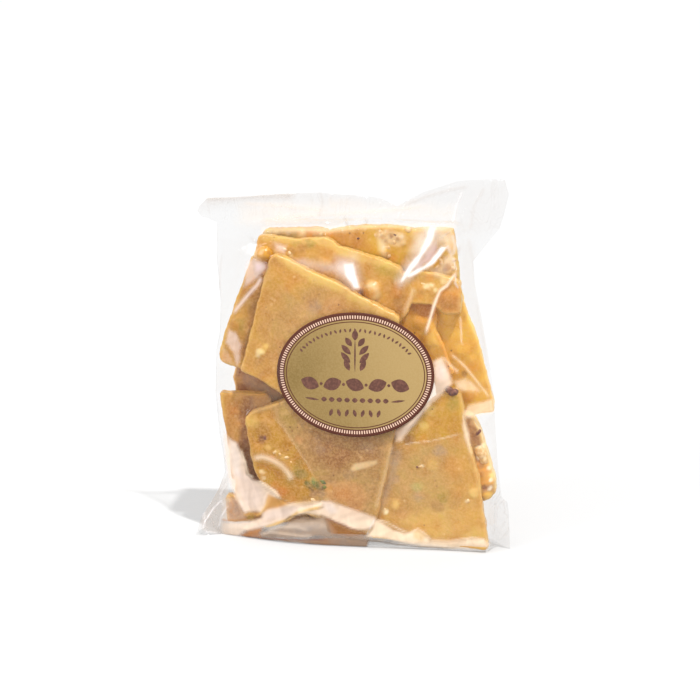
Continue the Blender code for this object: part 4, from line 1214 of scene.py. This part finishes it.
# patches painted on the skin: outline as (x, z), softness, strength and tint; besides milky film, the pale
# ones paint reflections and highlights and the dark ones paint shade, along the base and in the gaps between
# slabs
frontVeils = [
    ([(-57, 45.9), (-53.3, 45.3), (-51.4, 41.3), (-48.9, 37), (-48.6, 30.6), (-45.6, 28.7), (-42.6, 28.7),
      (-38.9, 26.5), (-34.8, 23.8), (-33.4, 20.9), (-36.7, 21.2), (-38.4, 16.7), (-41.5, 12.1), (-45, 12.6),
      (-50, 11.4), (-52.4, 14.5), (-54.8, 18.1), (-56.6, 26.2), (-58, 35.7)], 0.9, 0.86, "shell"),
    ([(-53.8, 31.8), (-45.6, 28.7), (-40.8, 25.9), (-40.2, 20.2), (-44, 13.8), (-49.4, 13.5), (-53.2, 20.9)],
     2.0, 0.5, "pink"),
    ([(-38.1, 22.6), (-34.3, 21.4), (-27.9, 18.3), (-32.7, 15.4), (-39.5, 12.5), (-41.5, 12.1),
      (-39.4, 17.1)], 0.7, 0.85, "orange"),
    ([(-57, 45.9), (-53.4, 44.8), (-51.4, 39.4), (-51.8, 29.3), (-55, 28.5), (-56.9, 35)], 1.4, 0.3, "white"),
    ([(-40.8, 27.9), (-38, 26.1), (-34.3, 23.3), (-32.5, 20.5), (-36.7, 21.7), (-40.9, 24.4)],
     0.9, 0.4, "cream"),
    ([(-60.1, 50), (-57, 46.8), (-57, 31), (-56.2, 21.3), (-58.2, 26.8), (-59.5, 37.7)], 0.7, 0.45, "shell"),
    ([(-41.6, 11.6), (-38.5, 14.2), (-32.6, 15.9), (-26.9, 18.3), (-20.9, 18.1), (-13, 19.9), (-12.5, 17.7),
      (-18.5, 16.1), (-23.1, 14.4), (-27.6, 11.2), (-32.9, 8.6), (-41.8, 5), (-48.8, 2), (-51.2, 3.2),
      (-46.5, 7.1), (-41.5, 9.3)], 0.8, 0.85, "shell"),
    ([(-23.2, 18), (-13, 19.9), (-12.5, 17.7), (-18.5, 16.5), (-23.1, 15.4), (-28, 12.8)], 1.0, 0.4, "cream"),
    ([(-40.5, 11.8), (-36.6, 14.9), (-25.1, 17), (-23.1, 14.9), (-30.5, 10.9), (-41.6, 7.2)],
     1.6, 0.5, "pink"),
    ([(-61.4, 16.5), (-52.3, 17.5), (-49, 10.5), (-49.6, 8), (-61.7, 5.1)], 1.0, 0.3, "shell"),
    ([(-61.7, 4), (-52.6, 6), (-41.5, 9.3), (-46.6, 4.9), (-51.3, 1.1), (-55.6, -3.9), (-62.1, -2.4)],
     1.0, 0.75, "shell"),
    # the caramel, slate and taupe patches here paint the shade along the base
    ([(-53, -1.5), (-48.8, 2), (-41.8, 4.5), (-43.3, 1.8), (-42, -0.8), (-50.6, -2.3)], 1.1, 0.95, "caramel"),
    ([(-31.5, 6.8), (-27.1, 10.3), (-22.4, 11.7), (-17.7, 11.4), (-13.1, 12.6), (-9.4, 10.8), (-6.7, 5.5),
      (-9.5, 2.9), (-19.8, 2.8), (-30.7, 2.8), (-36.9, 3.6)], 0.9, 0.76, "slate"),
    ([(-28.1, 9.1), (-21.5, 11.2), (-13.1, 11.1), (-11.3, 7.8), (-20.6, 7.2), (-30.1, 5.9)],
     1.4, 0.3, "shell"),
    ([(-41.9, 2), (-33.1, 3.6), (-23.5, 3.5), (-19.8, 2.3), (-28.3, 1), (-42, -0.8)], 0.7, 0.8, "slate"),
    ([(-53.2, -2.5), (-38.1, -0.8), (-21.2, 0.9), (-4.8, 2.7), (8.1, 2.2), (6.7, -6.7), (-4.1, -7.6),
      (-19.2, -7.8), (-20.5, -1.8), (-33.4, -1.8), (-49, -4.6)], 0.6, 0.95, "taupe"),
    ([(-49, -5.1), (-33.4, -2), (-21.9, -2.2), (-22.5, -7), (-34.8, -6.5), (-48.1, -6.1)], 0.8, 0.3, "stone"),
    ([(-9.5, 0.9), (7.2, 1.2), (5.8, -6.2), (-10.2, -6.9)], 1.2, 0.35, "slate"),
    ([(-22.2, -0), (-4.8, 1.7), (-6.5, -6.8), (-19.6, -7.3)], 1.0, 0.3, "caramel"),
    ([(-13, 19.9), (-9.4, 20.5), (-2.5, 17.8), (4.4, 15.6), (11.3, 13.4), (11.8, 9.8), (7.2, 7), (0.7, 7.3),
      (-5.7, 9.9), (-11.7, 13.1), (-15.8, 14.5), (-19.4, 14.6), (-15.7, 16.6), (-12.5, 17.2)],
     0.8, 0.78, "shell"),
    ([(-12.1, 20), (-8, 19.1), (-5.7, 15.3), (-9.4, 14.2), (-12, 17.3)], 1.0, 0.35, "white"),
    ([(-5.7, 12.4), (0.7, 10.7), (10, 12.7), (10.9, 9.2), (5.3, 7.4), (-0.2, 8.2)], 1.0, 0.4, "cream"),
    ([(-10.8, 11.2), (-5.7, 9.5), (-0.2, 6.8), (7.2, 5.1), (5.3, 3.6), (-2.5, 3.3), (-8.5, 4.4)],
     0.8, 0.5, "caramel"),
    ([(-9.5, 3.9), (-0.2, 3.4), (8.5, 4.7), (8.5, 2.7), (-0.2, 1.4), (-8.6, 2)], 0.8, 0.6, "slate"),
    ([(11.8, 12.3), (15, 10.9), (19.2, 7.7), (25.1, 6), (29.7, 8.1), (32.9, 7.3), (36.6, 3.1), (45.8, 3.1),
      (54.9, 5.2), (61.2, 5.1), (63.1, 2.4), (62.6, 0.3), (52.6, -0.5), (36.5, -0.3), (25.1, 1.3),
      (15.9, 3.4), (7.6, 4.1), (9.9, 7.1)], 0.8, 0.86, "cream"),
    ([(28.3, 7.6), (32, 8.7), (34.8, 5.4), (32.9, 2.6), (29.2, 4)], 0.8, 0.5, "amber"),
    ([(37, 87.1), (40.5, 88.7), (43.6, 83.1), (45.5, 76.9), (43.4, 75.1), (41.2, 72.3), (36.8, 68.2),
      (32.4, 63), (27.9, 56.9), (23, 50.2), (20.7, 50.1), (20.7, 54.4), (27, 60.2), (32.3, 67.7),
      (35.8, 74.2)], 0.9, 0.66, "shell"),
    ([(37.9, 86.6), (40.5, 87.4), (42.7, 83.2), (42.4, 79.1), (39.8, 78.3), (38.4, 80.7)], 1.6, 0.3, "white"),
    ([(38.8, 85.2), (40.5, 86), (41.5, 81.4), (40.2, 79.7)], 1.0, 0.4, "stone"),
    ([(20.7, 57.7), (24.8, 59.6), (23.4, 54.9), (21.2, 50.6), (19.8, 51.5)], 0.9, 0.75, "taupe"),
    ([(50.7, 63.6), (52.8, 66.7), (57.1, 67.4), (63.2, 68), (64.7, 62.3), (58.1, 61.8), (52.1, 61.3)],
     0.9, 0.55, "cream"),
    ([(46.8, 77.7), (51.6, 79.1), (56.1, 75.1), (57.9, 72.3), (51.3, 73.5), (47.8, 75.1)],
     0.9, 0.42, "cream"),
    ([(50.7, 62.7), (52.5, 58), (54, 51.2), (55, 44.3), (53.7, 45.6), (51.8, 52.1), (50.3, 58.1)],
     0.6, 0.6, "cream"),
    ([(-47.7, 129.4), (-44.3, 131.5), (-38.3, 129.5), (-37.9, 127.7), (-41.2, 124.4), (-45, 120.9),
      (-49.4, 117.6)], 0.9, 0.5, "pink"),
    ([(-43.7, 129.4), (-39.3, 129), (-40.3, 126.6), (-43.2, 125.9)], 0.8, 0.5, "mauve"),
    ([(-56.8, 97.7), (-52.7, 96.5), (-50.1, 92), (-51, 84.2), (-52.5, 81.7), (-54.1, 88.2), (-58.4, 91.4)],
     0.8, 0.5, "pink"),
    ([(-59.9, 90.3), (-56.8, 87.7), (-53.6, 81.9), (-60, 82.4)], 0.9, 0.2, "shell"),
    ([(-35.2, 138.5), (-29.6, 137.4), (-30.2, 134.2), (-33.9, 135.8)], 1.0, 0.45, "pink"),
    # painted highlight: the white streak and the glare flare above the upper slab, in white painted
    # reflection
    ([(-26.5, 131.7), (-17.7, 131.2), (-7.5, 129.9), (-2.7, 130.7), (-1.1, 124.9), (-9.5, 126.6),
      (-19.3, 128.3)], 1.6, 0.24, "white"),
    ([(-2.6, 129.1), (0.1, 129.5), (1.1, 125.3), (2.9, 120.2), (1.8, 120.2), (-0.1, 122.8), (-2, 125.7)],
     1.3, 1.15, "paintedGlare"),
    ([(-7.2, 132.4), (1.2, 133.3), (3.3, 126.6), (3.6, 119.8), (0.5, 119.8), (-5, 124.9)],
     2.6, 0.32, "white"),
    # painted highlight: the triangle at the upper right, glare lines in white painted reflection
    ([(31.4, 146.9), (40.3, 147.6), (38.7, 140.6), (34.4, 135.3), (30.2, 129.2), (25.1, 123.1),
      (21.6, 120.6), (20.6, 123.1), (24, 130), (28.2, 137.8)], 2.4, 0.38, "white"),
    ([(34.1, 145.7), (36.8, 145.8), (34.8, 140.1), (31.8, 134.9), (27.5, 129.2), (24.5, 125.3),
      (22.4, 122.7), (22.8, 124), (25.7, 129.2), (29.2, 133.5), (32.1, 138.8)], 0.9, 1.0, "paintedGlare"),
    ([(39.3, 137.5), (41.1, 137.1), (38.5, 133.2), (35.5, 130.1), (32.4, 127.9), (28.5, 126.1),
      (25.4, 124.9), (28.5, 127.2), (32, 129.2), (35, 131.4), (37.6, 134.9)], 0.8, 0.95, "paintedGlare"),
    ([(35.2, 138.8), (37.9, 138), (36.7, 133.6), (33.7, 130.9), (30.2, 128.8), (28.9, 128.8), (31.8, 133.1)],
     1.4, 0.5, "mauve"),
    ([(36.8, 146.2), (44, 145.5), (46, 136.3), (43.4, 133.2), (41.5, 138.4), (38.7, 141.4)],
     1.0, 0.32, "cream"),
    ([(40.7, 133.6), (44.2, 133.6), (46.2, 127.7), (42.3, 125.1), (37.4, 124.4), (35.6, 127), (39, 129.2)],
     1.2, 0.3, "cream"),
    ([(41.7, 130.1), (43.4, 130.6), (44, 128), (42.2, 127.1)], 0.8, 0.5, "caramel"),
    ([(26.9, 119.7), (28.7, 118.8), (25.5, 111.1), (23.8, 108.6), (23.7, 110.7)], 0.7, 0.22, "cream"),
    # the taupe and slate patches paint the shade in the gap below the upper left slab
    ([(-40.4, 74.5), (-30.3, 70.7), (-32.2, 67.4), (-37.7, 68.1)], 1.0, 0.25, "taupe"),
    ([(-46.2, 68.5), (-34, 68.3), (-40.5, 61.5), (-46.9, 61.3)], 1.2, 0.2, "slate"),
    ([(-41.1, 144.5), (-15, 145.5), (34.1, 147.4), (45.3, 146.4), (44, 144.6), (34.2, 145.3), (19.8, 145.3),
      (6.9, 145.2), (-10.4, 142.9), (-25.6, 143.2), (-40.6, 142.4)], 1.0, 0.35, "cream"),
    ([(-51.2, 146.9), (-24.1, 147.4), (2.6, 148.9), (34, 149.6), (45.2, 148.5), (45, 155.6), (29.4, 156.5),
      (11.4, 154.6), (-10.6, 156.1), (-28.6, 155.8), (-51, 153.4)], 3.0, 0.12, "cream"),
    ([(-50.9, 155.3), (-15.1, 156.1), (-12.9, 152), (-24.1, 147.4), (-46.7, 147)], 3.0, 0.1, "shell"),
    ([(-10.6, 157.5), (2.5, 157.2), (3.4, 154.5), (-10.6, 154.3)], 2.0, 0.14, "shell"),
    ([(-70.6, 158.8), (-15.1, 161.5), (-1.9, 160), (11.3, 155.9), (2.5, 154.5), (-24.1, 156.9),
      (-70.6, 152.1)], 2.2, 0.13, "stone"),
    ([(11.4, 154.6), (29.4, 159.6), (47.1, 164.6), (68.8, 168.8), (68.3, 152.5), (56.4, 143), (48.4, 144.2),
      (45.5, 156)], 3.5, 0.1, "stone"),
    ([(-70.4, 1), (-71.2, 5), (-69.2, 11.1), (-65.1, 19.5), (-58.1, 28.3), (-58.4, 16.1), (-59.6, 5),
      (-57.2, -2.8), (-65.2, -1.6)], 1.0, 0.42, "stone"),
    ([(60.8, 23.5), (71.7, 20), (73.3, -1.9), (63.5, 0.4)], 1.2, 0.07, "stone"),
    ([(48.5, 140.7), (53.8, 139), (56.1, 113.8), (60.1, 91), (59.3, 85.6), (55.5, 98), (50, 114.2),
      (48.4, 127.5)], 1.5, 0.12, "stone"),
    ([(59.5, 78.3), (63.1, 74.8), (65.2, 58.5), (67, 35.4), (66.4, 22.5), (64.9, 36.1), (63.6, 49.7),
      (59.5, 57.1), (64.2, 62.8)], 1.0, 0.1, "stone"),
    ([(-62.1, 80.1), (-54.8, 80.6), (-54, 69.3), (-63.3, 68.2)], 1.0, 0.08, "stone"),
    ([(-59.8, 138.3), (-45.6, 139.1), (-48.2, 129.3), (-54.9, 111.5), (-60.5, 97), (-62.5, 89.9)],
     1.5, 0.06, "stone"),
]
# on the back: the two pale lines at the middle are the lap seam, the other pale folds and patches paint
# reflections, and the dark fold along the base paints shade
backFolds = [
    ([(-4, 160), (-5, 120), (-4, 60), (-5, 3)], 0.5, 0.5, 0.35, "white"),
    ([(5, 161), (4, 120), (5, 60), (4, 3)], 0.5, 0.5, 0.35, "white"),
    ([(-50, 140), (-30, 118), (-12, 112)], 0.8, 0.8, 0.35, "white"),
    ([(48, 138), (36, 110), (40, 82)], 0.8, 0.9, 0.4, "cream"),
    ([(-56, 60), (-40, 44), (-20, 40), (0, 46)], 0.7, 0.6, 0.3, "pink"),
    ([(60, 50), (44, 36), (20, 44)], 0.8, 0.7, 0.3, "white"),
    ([(-50, 4), (-20, 12), (10, 8), (50, 14)], 0.9, 0.8, 0.4, "pink"),
    ([(-57, 1.0), (-20, 1.0), (54, 1.1)], 0.8, 0.0, 0.6, "caramel"),
]
backVeils = [
    ([(-40, 120), (-10, 110), (-14, 80), (-44, 96)], 6.0, 0.25, "pink"),
    ([(14, 100), (44, 92), (40, 60), (16, 70)], 6.0, 0.22, "pink"),
    ([(-56, 24), (0, 22), (30, 8), (-50, 4)], 5.0, 0.35, "cream"),
]


def edgesAt(z, look):
    return [np.interp(z, look["edgeHeights"], look[edge]) for edge in ("leftEdge", "rightEdge")]


def filmGrid(look):
    # how far the film stands in front of and behind the middle plane, stretched over what is inside
    half = look["gridHalf"]
    xs, zs = np.arange(-half, half + 1.0), np.arange(look["bodyBottom"], look["bodyTop"] + 8)
    x, z = np.meshgrid(xs, zs, indexing="ij")
    left, right = edgesAt(z, look)
    across = np.clip(np.abs(x - (left + right) / 2) / np.minimum((right - left) / 2, look["widest"]), 0, 1)
    up = np.clip(z / look["bodyTop"], 0, 1)
    slack = np.maximum(look["half"], look["pillow"] * (1 - across**3) * (1 - up**4))
    front, back = slack.copy(), slack.copy()
    for piece in slabPieces + nutPieces:
        points = pointsOf(piece.data) / mm - np.array(centring)
        for dx in (-0.5, 0.5):
            for dz in (-0.5, 0.5):
                i = np.clip(np.round(points[:, 0] + dx + half).astype(int), 0, len(xs) - 1)
                k = np.clip(np.round(points[:, 2] + dz - zs[0]).astype(int), 0, len(zs) - 1)
                np.maximum.at(front, (i, k), look["clearance"] - points[:, 1])
                np.maximum.at(back, (i, k), look["clearance"] + points[:, 1])
    lx, lz = labelLook["centre"][0], labelLook["centre"][2]
    plate = ((x - lx) / labelLook["halfWidth"]) ** 2 + ((z - lz) / labelLook["halfHeight"]) ** 2 < 1.03
    front = np.where(plate, np.maximum(front, -labelDepth(x, z)), front)
    held = (x < left - 3) | (x > right + 3) | (z > look["bodyTop"] + 2)
    held |= (z < look["cornerTop"]) & ((x < -64) | (x > 66))
    front[held] = back[held] = look["half"]
    for lowest in (front, back):
        height = lowest.copy()
        for _ in range(look["relaxings"]):
            wide = np.pad(height, 1, mode="edge")
            mean = (wide[2:, 1:-1] + wide[:-2, 1:-1] + wide[1:-1, 2:] + wide[1:-1, :-2]) / 4
            height = np.where(held, lowest, np.maximum(lowest, mean))
        lowest[:] = height
    return front, back


def between(heights, x, z):
    i = np.clip(x + filmLook["gridHalf"], 0, heights.shape[0] - 1.001)
    k = np.clip(z - filmLook["bodyBottom"], 0, heights.shape[1] - 1.001)
    i0, k0 = i.astype(int), k.astype(int)
    a, b = i - i0, k - k0
    low = heights[i0, k0] * (1 - a) + heights[i0 + 1, k0] * a
    high = heights[i0, k0 + 1] * (1 - a) + heights[i0 + 1, k0 + 1] * a
    return low * (1 - b) + high * b


def paintFilm(x, z, folds, veils):
    # how far folds lift the skin, how much milky film, painted reflection and painted shade lies on it, and
    # its colour there
    lift, milkSheenShade = np.zeros(len(x)), np.zeros(len(x))
    tint = np.tile(np.array(milkSheenShadeTints["white"]), (len(x), 1))

    def veil(share, name):
        milkSheenShade[:] = 1 - (1 - milkSheenShade) * (1 - share)
        part = (share / np.maximum(milkSheenShade, 0.001))[:, None]
        tint[:] = tint * (1 - part) + np.array(milkSheenShadeTints[name]) * part

    flat = np.c_[x, x * 0, z]
    wobble = wave(flat, 4.5, 21) * 0.8 + wave(flat, 1.8, 23) * 0.3
    slant = np.c_[(x + z * 0.5) / 3, x * 0, (z - x * 0.5) * 1.6]
    streaks = 0.95 + 0.16 * wave(slant, 3.5, 27)
    # the glare tint, a painted highlight, is not streaked
    for corners, soft, strength, name in veils:
        edge = smoothStep(-soft * 1.3, soft * 1.3, insideBy(x, z, corners) + wobble * 0.5)
        veil(np.clip(strength * edge * (1 if name == "paintedGlare" else streaks), 0, 1), name)
    for line, width, height, strength, name in folds:
        away, along = fromLine(x, z, line)
        taper = smoothStep(0, 0.12, along) * smoothStep(1, 0.88, along)
        lift += height * taper * np.exp(-(away / (width * 1.6)) ** 2)
        veil(strength * taper * np.exp(-((away + wobble * 0.15) / width) ** 2), name)
    return lift, milkSheenShade, tint


def makeFilm(look):
    front, back = filmGrid(look)
    shape = bmesh.new()
    bmesh.ops.create_grid(shape, x_segments=look["columns"], y_segments=look["rows"], size=1.0)
    grown = bmesh.ops.extrude_face_region(shape, geom=shape.faces[:])
    bmesh.ops.translate(shape, verts=addedVerts(grown), vec=(0, 0, 1))
    mesh = closeShape(shape, "film")
    flat = pointsOf(mesh)
    across, up, side = (flat[:, 0] + 1) / 2, (flat[:, 1] + 1) / 2, flat[:, 2] * 2 - 1
    split = look["finFrom"]
    share = np.clip(up / split, 0, 1)
    z = look["bodyBottom"] + (look["bodyTop"] - look["bodyBottom"]) * share
    left, right = edgesAt(z, look)
    inFin = up > split
    fin = np.clip((up - split) / (1 - split), 0, 1)
    left = np.where(inFin, np.interp(fin, look["finShares"], look["finLeft"]), left)
    right = np.where(inFin, np.interp(fin, look["finShares"], look["finRight"]), right)
    x = left + across * (right - left)
    top = np.interp(x, look["finOutlineX"], look["finOutlineZ"])
    z = np.where(inFin, look["bodyTop"] + fin * (top - look["bodyTop"]), z)
    height = np.where(side < 0, between(front, x, z), between(back, x, z))
    low = np.clip(1 - (z - look["bodyBottom"]) / 5, 0, 1) ** 2 * look["baseRounding"]
    height -= low * np.clip((height - look["half"]) / 5, 0, 1)
    frontLift, frontMilkSheenShade, frontTint = paintFilm(x, z, frontFolds, frontVeils)
    backLift, backMilkSheenShade, backTint = paintFilm(x, z, backFolds, backVeils)
    lift = np.where(side < 0, frontLift, backLift)
    milkSheenShade = np.where(side < 0, frontMilkSheenShade, backMilkSheenShade)
    tint = np.where(side[:, None] < 0, frontTint, backTint)
    inward = np.clip(np.minimum(across, 1 - across) * look["calmSides"], 0, 1)
    height += np.maximum(lift, 0) * inward
    above = np.clip(z - look["bodyTop"] + look["flareFrom"], 0, None)
    out = np.clip(np.abs(x) - look["widest"], 0, None)
    sway = above * sum(share * np.sin(x / length + start) for share, length, start in look["sway"])
    sway += np.where(z < look["cornerTop"], -0.5 * out * np.cos(z / 14), 0)
    points = np.c_[x, sway + side * height, z]
    ruffle = sum(wave(points, size, seed) * height for height, size, seed in look["ruffle"])
    loose = np.clip(above / 10, 0, 1) + np.clip(out / 4, 0, 1) * (z < look["looseBelow"])
    points[:, 1] += ruffle * np.clip(loose, 0, 1)
    points[:, 2] = np.maximum(points[:, 2], look["bodyBottom"] + look["lift"])
    putPoints(mesh, (points + np.array(centring)) * mm)
    # the milky film with the painted reflections and painted shade, and their tints, for the finish to mix in
    paintPoints(mesh, "milkSheenShade", milkSheenShade)
    paintPoints(mesh, "milkSheenShadeTint", tint)
    crinkle = 0.15 + np.clip(out / 3, 0, 1) * (z < look["crinkleBelow"]) + 0.5 * np.clip(above / 12, 0, 1)
    paintPoints(mesh, "crinkle", np.clip(crinkle, 0, 1))
    shape = bmesh.new()
    shape.from_mesh(mesh)
    bmesh.ops.recalc_face_normals(shape, faces=shape.faces)
    shape.to_mesh(mesh)
    shape.free()
    return intoPack(newObject("film", mesh, makeFilmFinish(look)), "bag", "bag")


def makeFilmFinish(look):
    finish = Finish("clearFilm")
    milkSheenShade, crinkle = finish.attribute("milkSheenShade", "Fac"), finish.attribute("crinkle", "Fac")
    tint = finish.attribute("milkSheenShadeTint", "Color")
    pull = {"Vector": finish.coords(), "Scale": (1.0, 1.0, look["foldStretch"]), "Rotation": (0.0, 0.5, 0.0)}
    stretched = finish.add("ShaderNodeMapping", {}, pull)
    streaks = finish.noise(160, 3, 0.8, stretched)
    folds = finish.noise(110, 2, 1.6, stretched) - 0.5
    creases = finish.band(finish.maths("ABSOLUTE", folds), 0.0, 0.03, 1.0, 0.0)
    relief = streaks * 0.6 + creases * crinkle * 0.5 + finish.noise(500, 2) * 0.08
    normal = finish.bump(relief, 0.35, 0.0012)
    facing = finish.add("ShaderNodeLayerWeight", {}, {"Blend": 0.5, "Normal": normal}, out="Facing")
    clear = finish.add("ShaderNodeBsdfTransparent", {}, {"Color": look["clear"]})
    mirror = finish.principled({
        "Base Color": (1, 1, 1, 1), "Metallic": 1.0, "Roughness": look["mirrorRoughness"], "Normal": normal})
    veil = finish.principled({"Base Color": tint, "Roughness": look["veilRoughness"], "Normal": normal})
    shine = finish.maths("POWER", facing, 4.0) * look["glint"] + look["leastGlint"]
    sheet = finish.add("ShaderNodeMixShader", {}, {0: shine, 1: clear, 2: mirror})
    # how much of the painted milk, reflection and shade shows, with a little white along the creases
    hazeSheenShade = milkSheenShade * finish.band(streaks, 0.3, 0.7, 0.84, 1.06) + creases * crinkle * 0.1 + look["leastHaze"]
    whole = finish.add("ShaderNodeMixShader", {}, {0: hazeSheenShade, 1: sheet, 2: veil})
    return finish.surface(whole)


print("film")
makeFilm(filmLook)


stageLook = {
    "floorTint": (0.44, 0.44, 0.44),
    "floorGlow": 0.21,
    "roomLight": 1.0,
    "sunStrength": 2.95,
    "sunTurn": 43.3,  # degrees to the right of the front
    "sunHeight": 62.3,
    "sunSpread": 2.0,
    "softboxPower": 5.0,
    "softboxTurn": -50.0,
    "softboxHeight": 25.0,
    "softboxSize": (0.35, 0.45),
    "lampTarget": (0, 0, 0.08),  # metres
    "lampDistance": 1.2,
}
cameraLook = {
    "turn": 7.0,
    "height": 14.0,
    "distance": 0.884,
    "lens": 100.0,
    "target": (-1.8, 0.0, 88.5),
}


def towards(turn, height):
    a, e = math.radians(turn), math.radians(height)
    return Vector((math.sin(a) * math.cos(e), -math.cos(a) * math.cos(e), math.sin(e)))


def aimed(name, data, target, way, distance):
    # a lamp or camera that looks at the target
    made = bpy.data.objects.new(name, data)
    bpy.context.scene.collection.objects.link(made)
    made.location = target + way * distance
    made.rotation_mode = "QUATERNION"
    made.rotation_quaternion = way.to_track_quat("Z", "Y")
    return made


def setStage(look):
    shape = bmesh.new()
    bmesh.ops.create_grid(shape, x_segments=1, y_segments=1, size=12.0)
    mesh = closeShape(shape, "floor")
    finish = Finish("whitePaper")
    diffuse = finish.principled({
        "Base Color": (*look["floorTint"], 1), "Roughness": 0.9, "Specular IOR Level": 0.0,
        "Emission Color": (1, 1, 1, 1), "Emission Strength": look["floorGlow"]})
    floor = newObject("floor", mesh, finish.surface(diffuse), smooth=False)
    world = bpy.data.worlds.new("studio")
    world.use_nodes = True
    light = world.node_tree.nodes["Background"].inputs
    light["Color"].default_value = (1, 1, 1, 1)
    light["Strength"].default_value = look["roomLight"]
    bpy.context.scene.world = world
    sun = bpy.data.lights.new("sun", "SUN")
    sun.energy = look["sunStrength"]
    sun.angle = math.radians(look["sunSpread"])
    softbox = bpy.data.lights.new("softbox", "AREA")
    softbox.shape = "RECTANGLE"
    softbox.size, softbox.size_y = look["softboxSize"]
    softbox.energy = look["softboxPower"]
    for lamp in (sun, softbox):
        way = towards(look[lamp.name + "Turn"], look[lamp.name + "Height"])
        aimed(lamp.name, lamp, Vector(look["lampTarget"]), way, look["lampDistance"])


def setCamera(look):
    lens = bpy.data.cameras.new("camera")
    lens.lens = look["lens"]
    lens.sensor_width = 36
    lens.clip_start, lens.clip_end = 0.05, 60
    way = towards(look["turn"], look["height"])
    bpy.context.scene.camera = aimed("camera", lens, at(*look["target"]), way, look["distance"])


print("stage")
setStage(stageLook)
setCamera(cameraLook)
bpy.context.scene.view_settings.view_transform = "Standard"
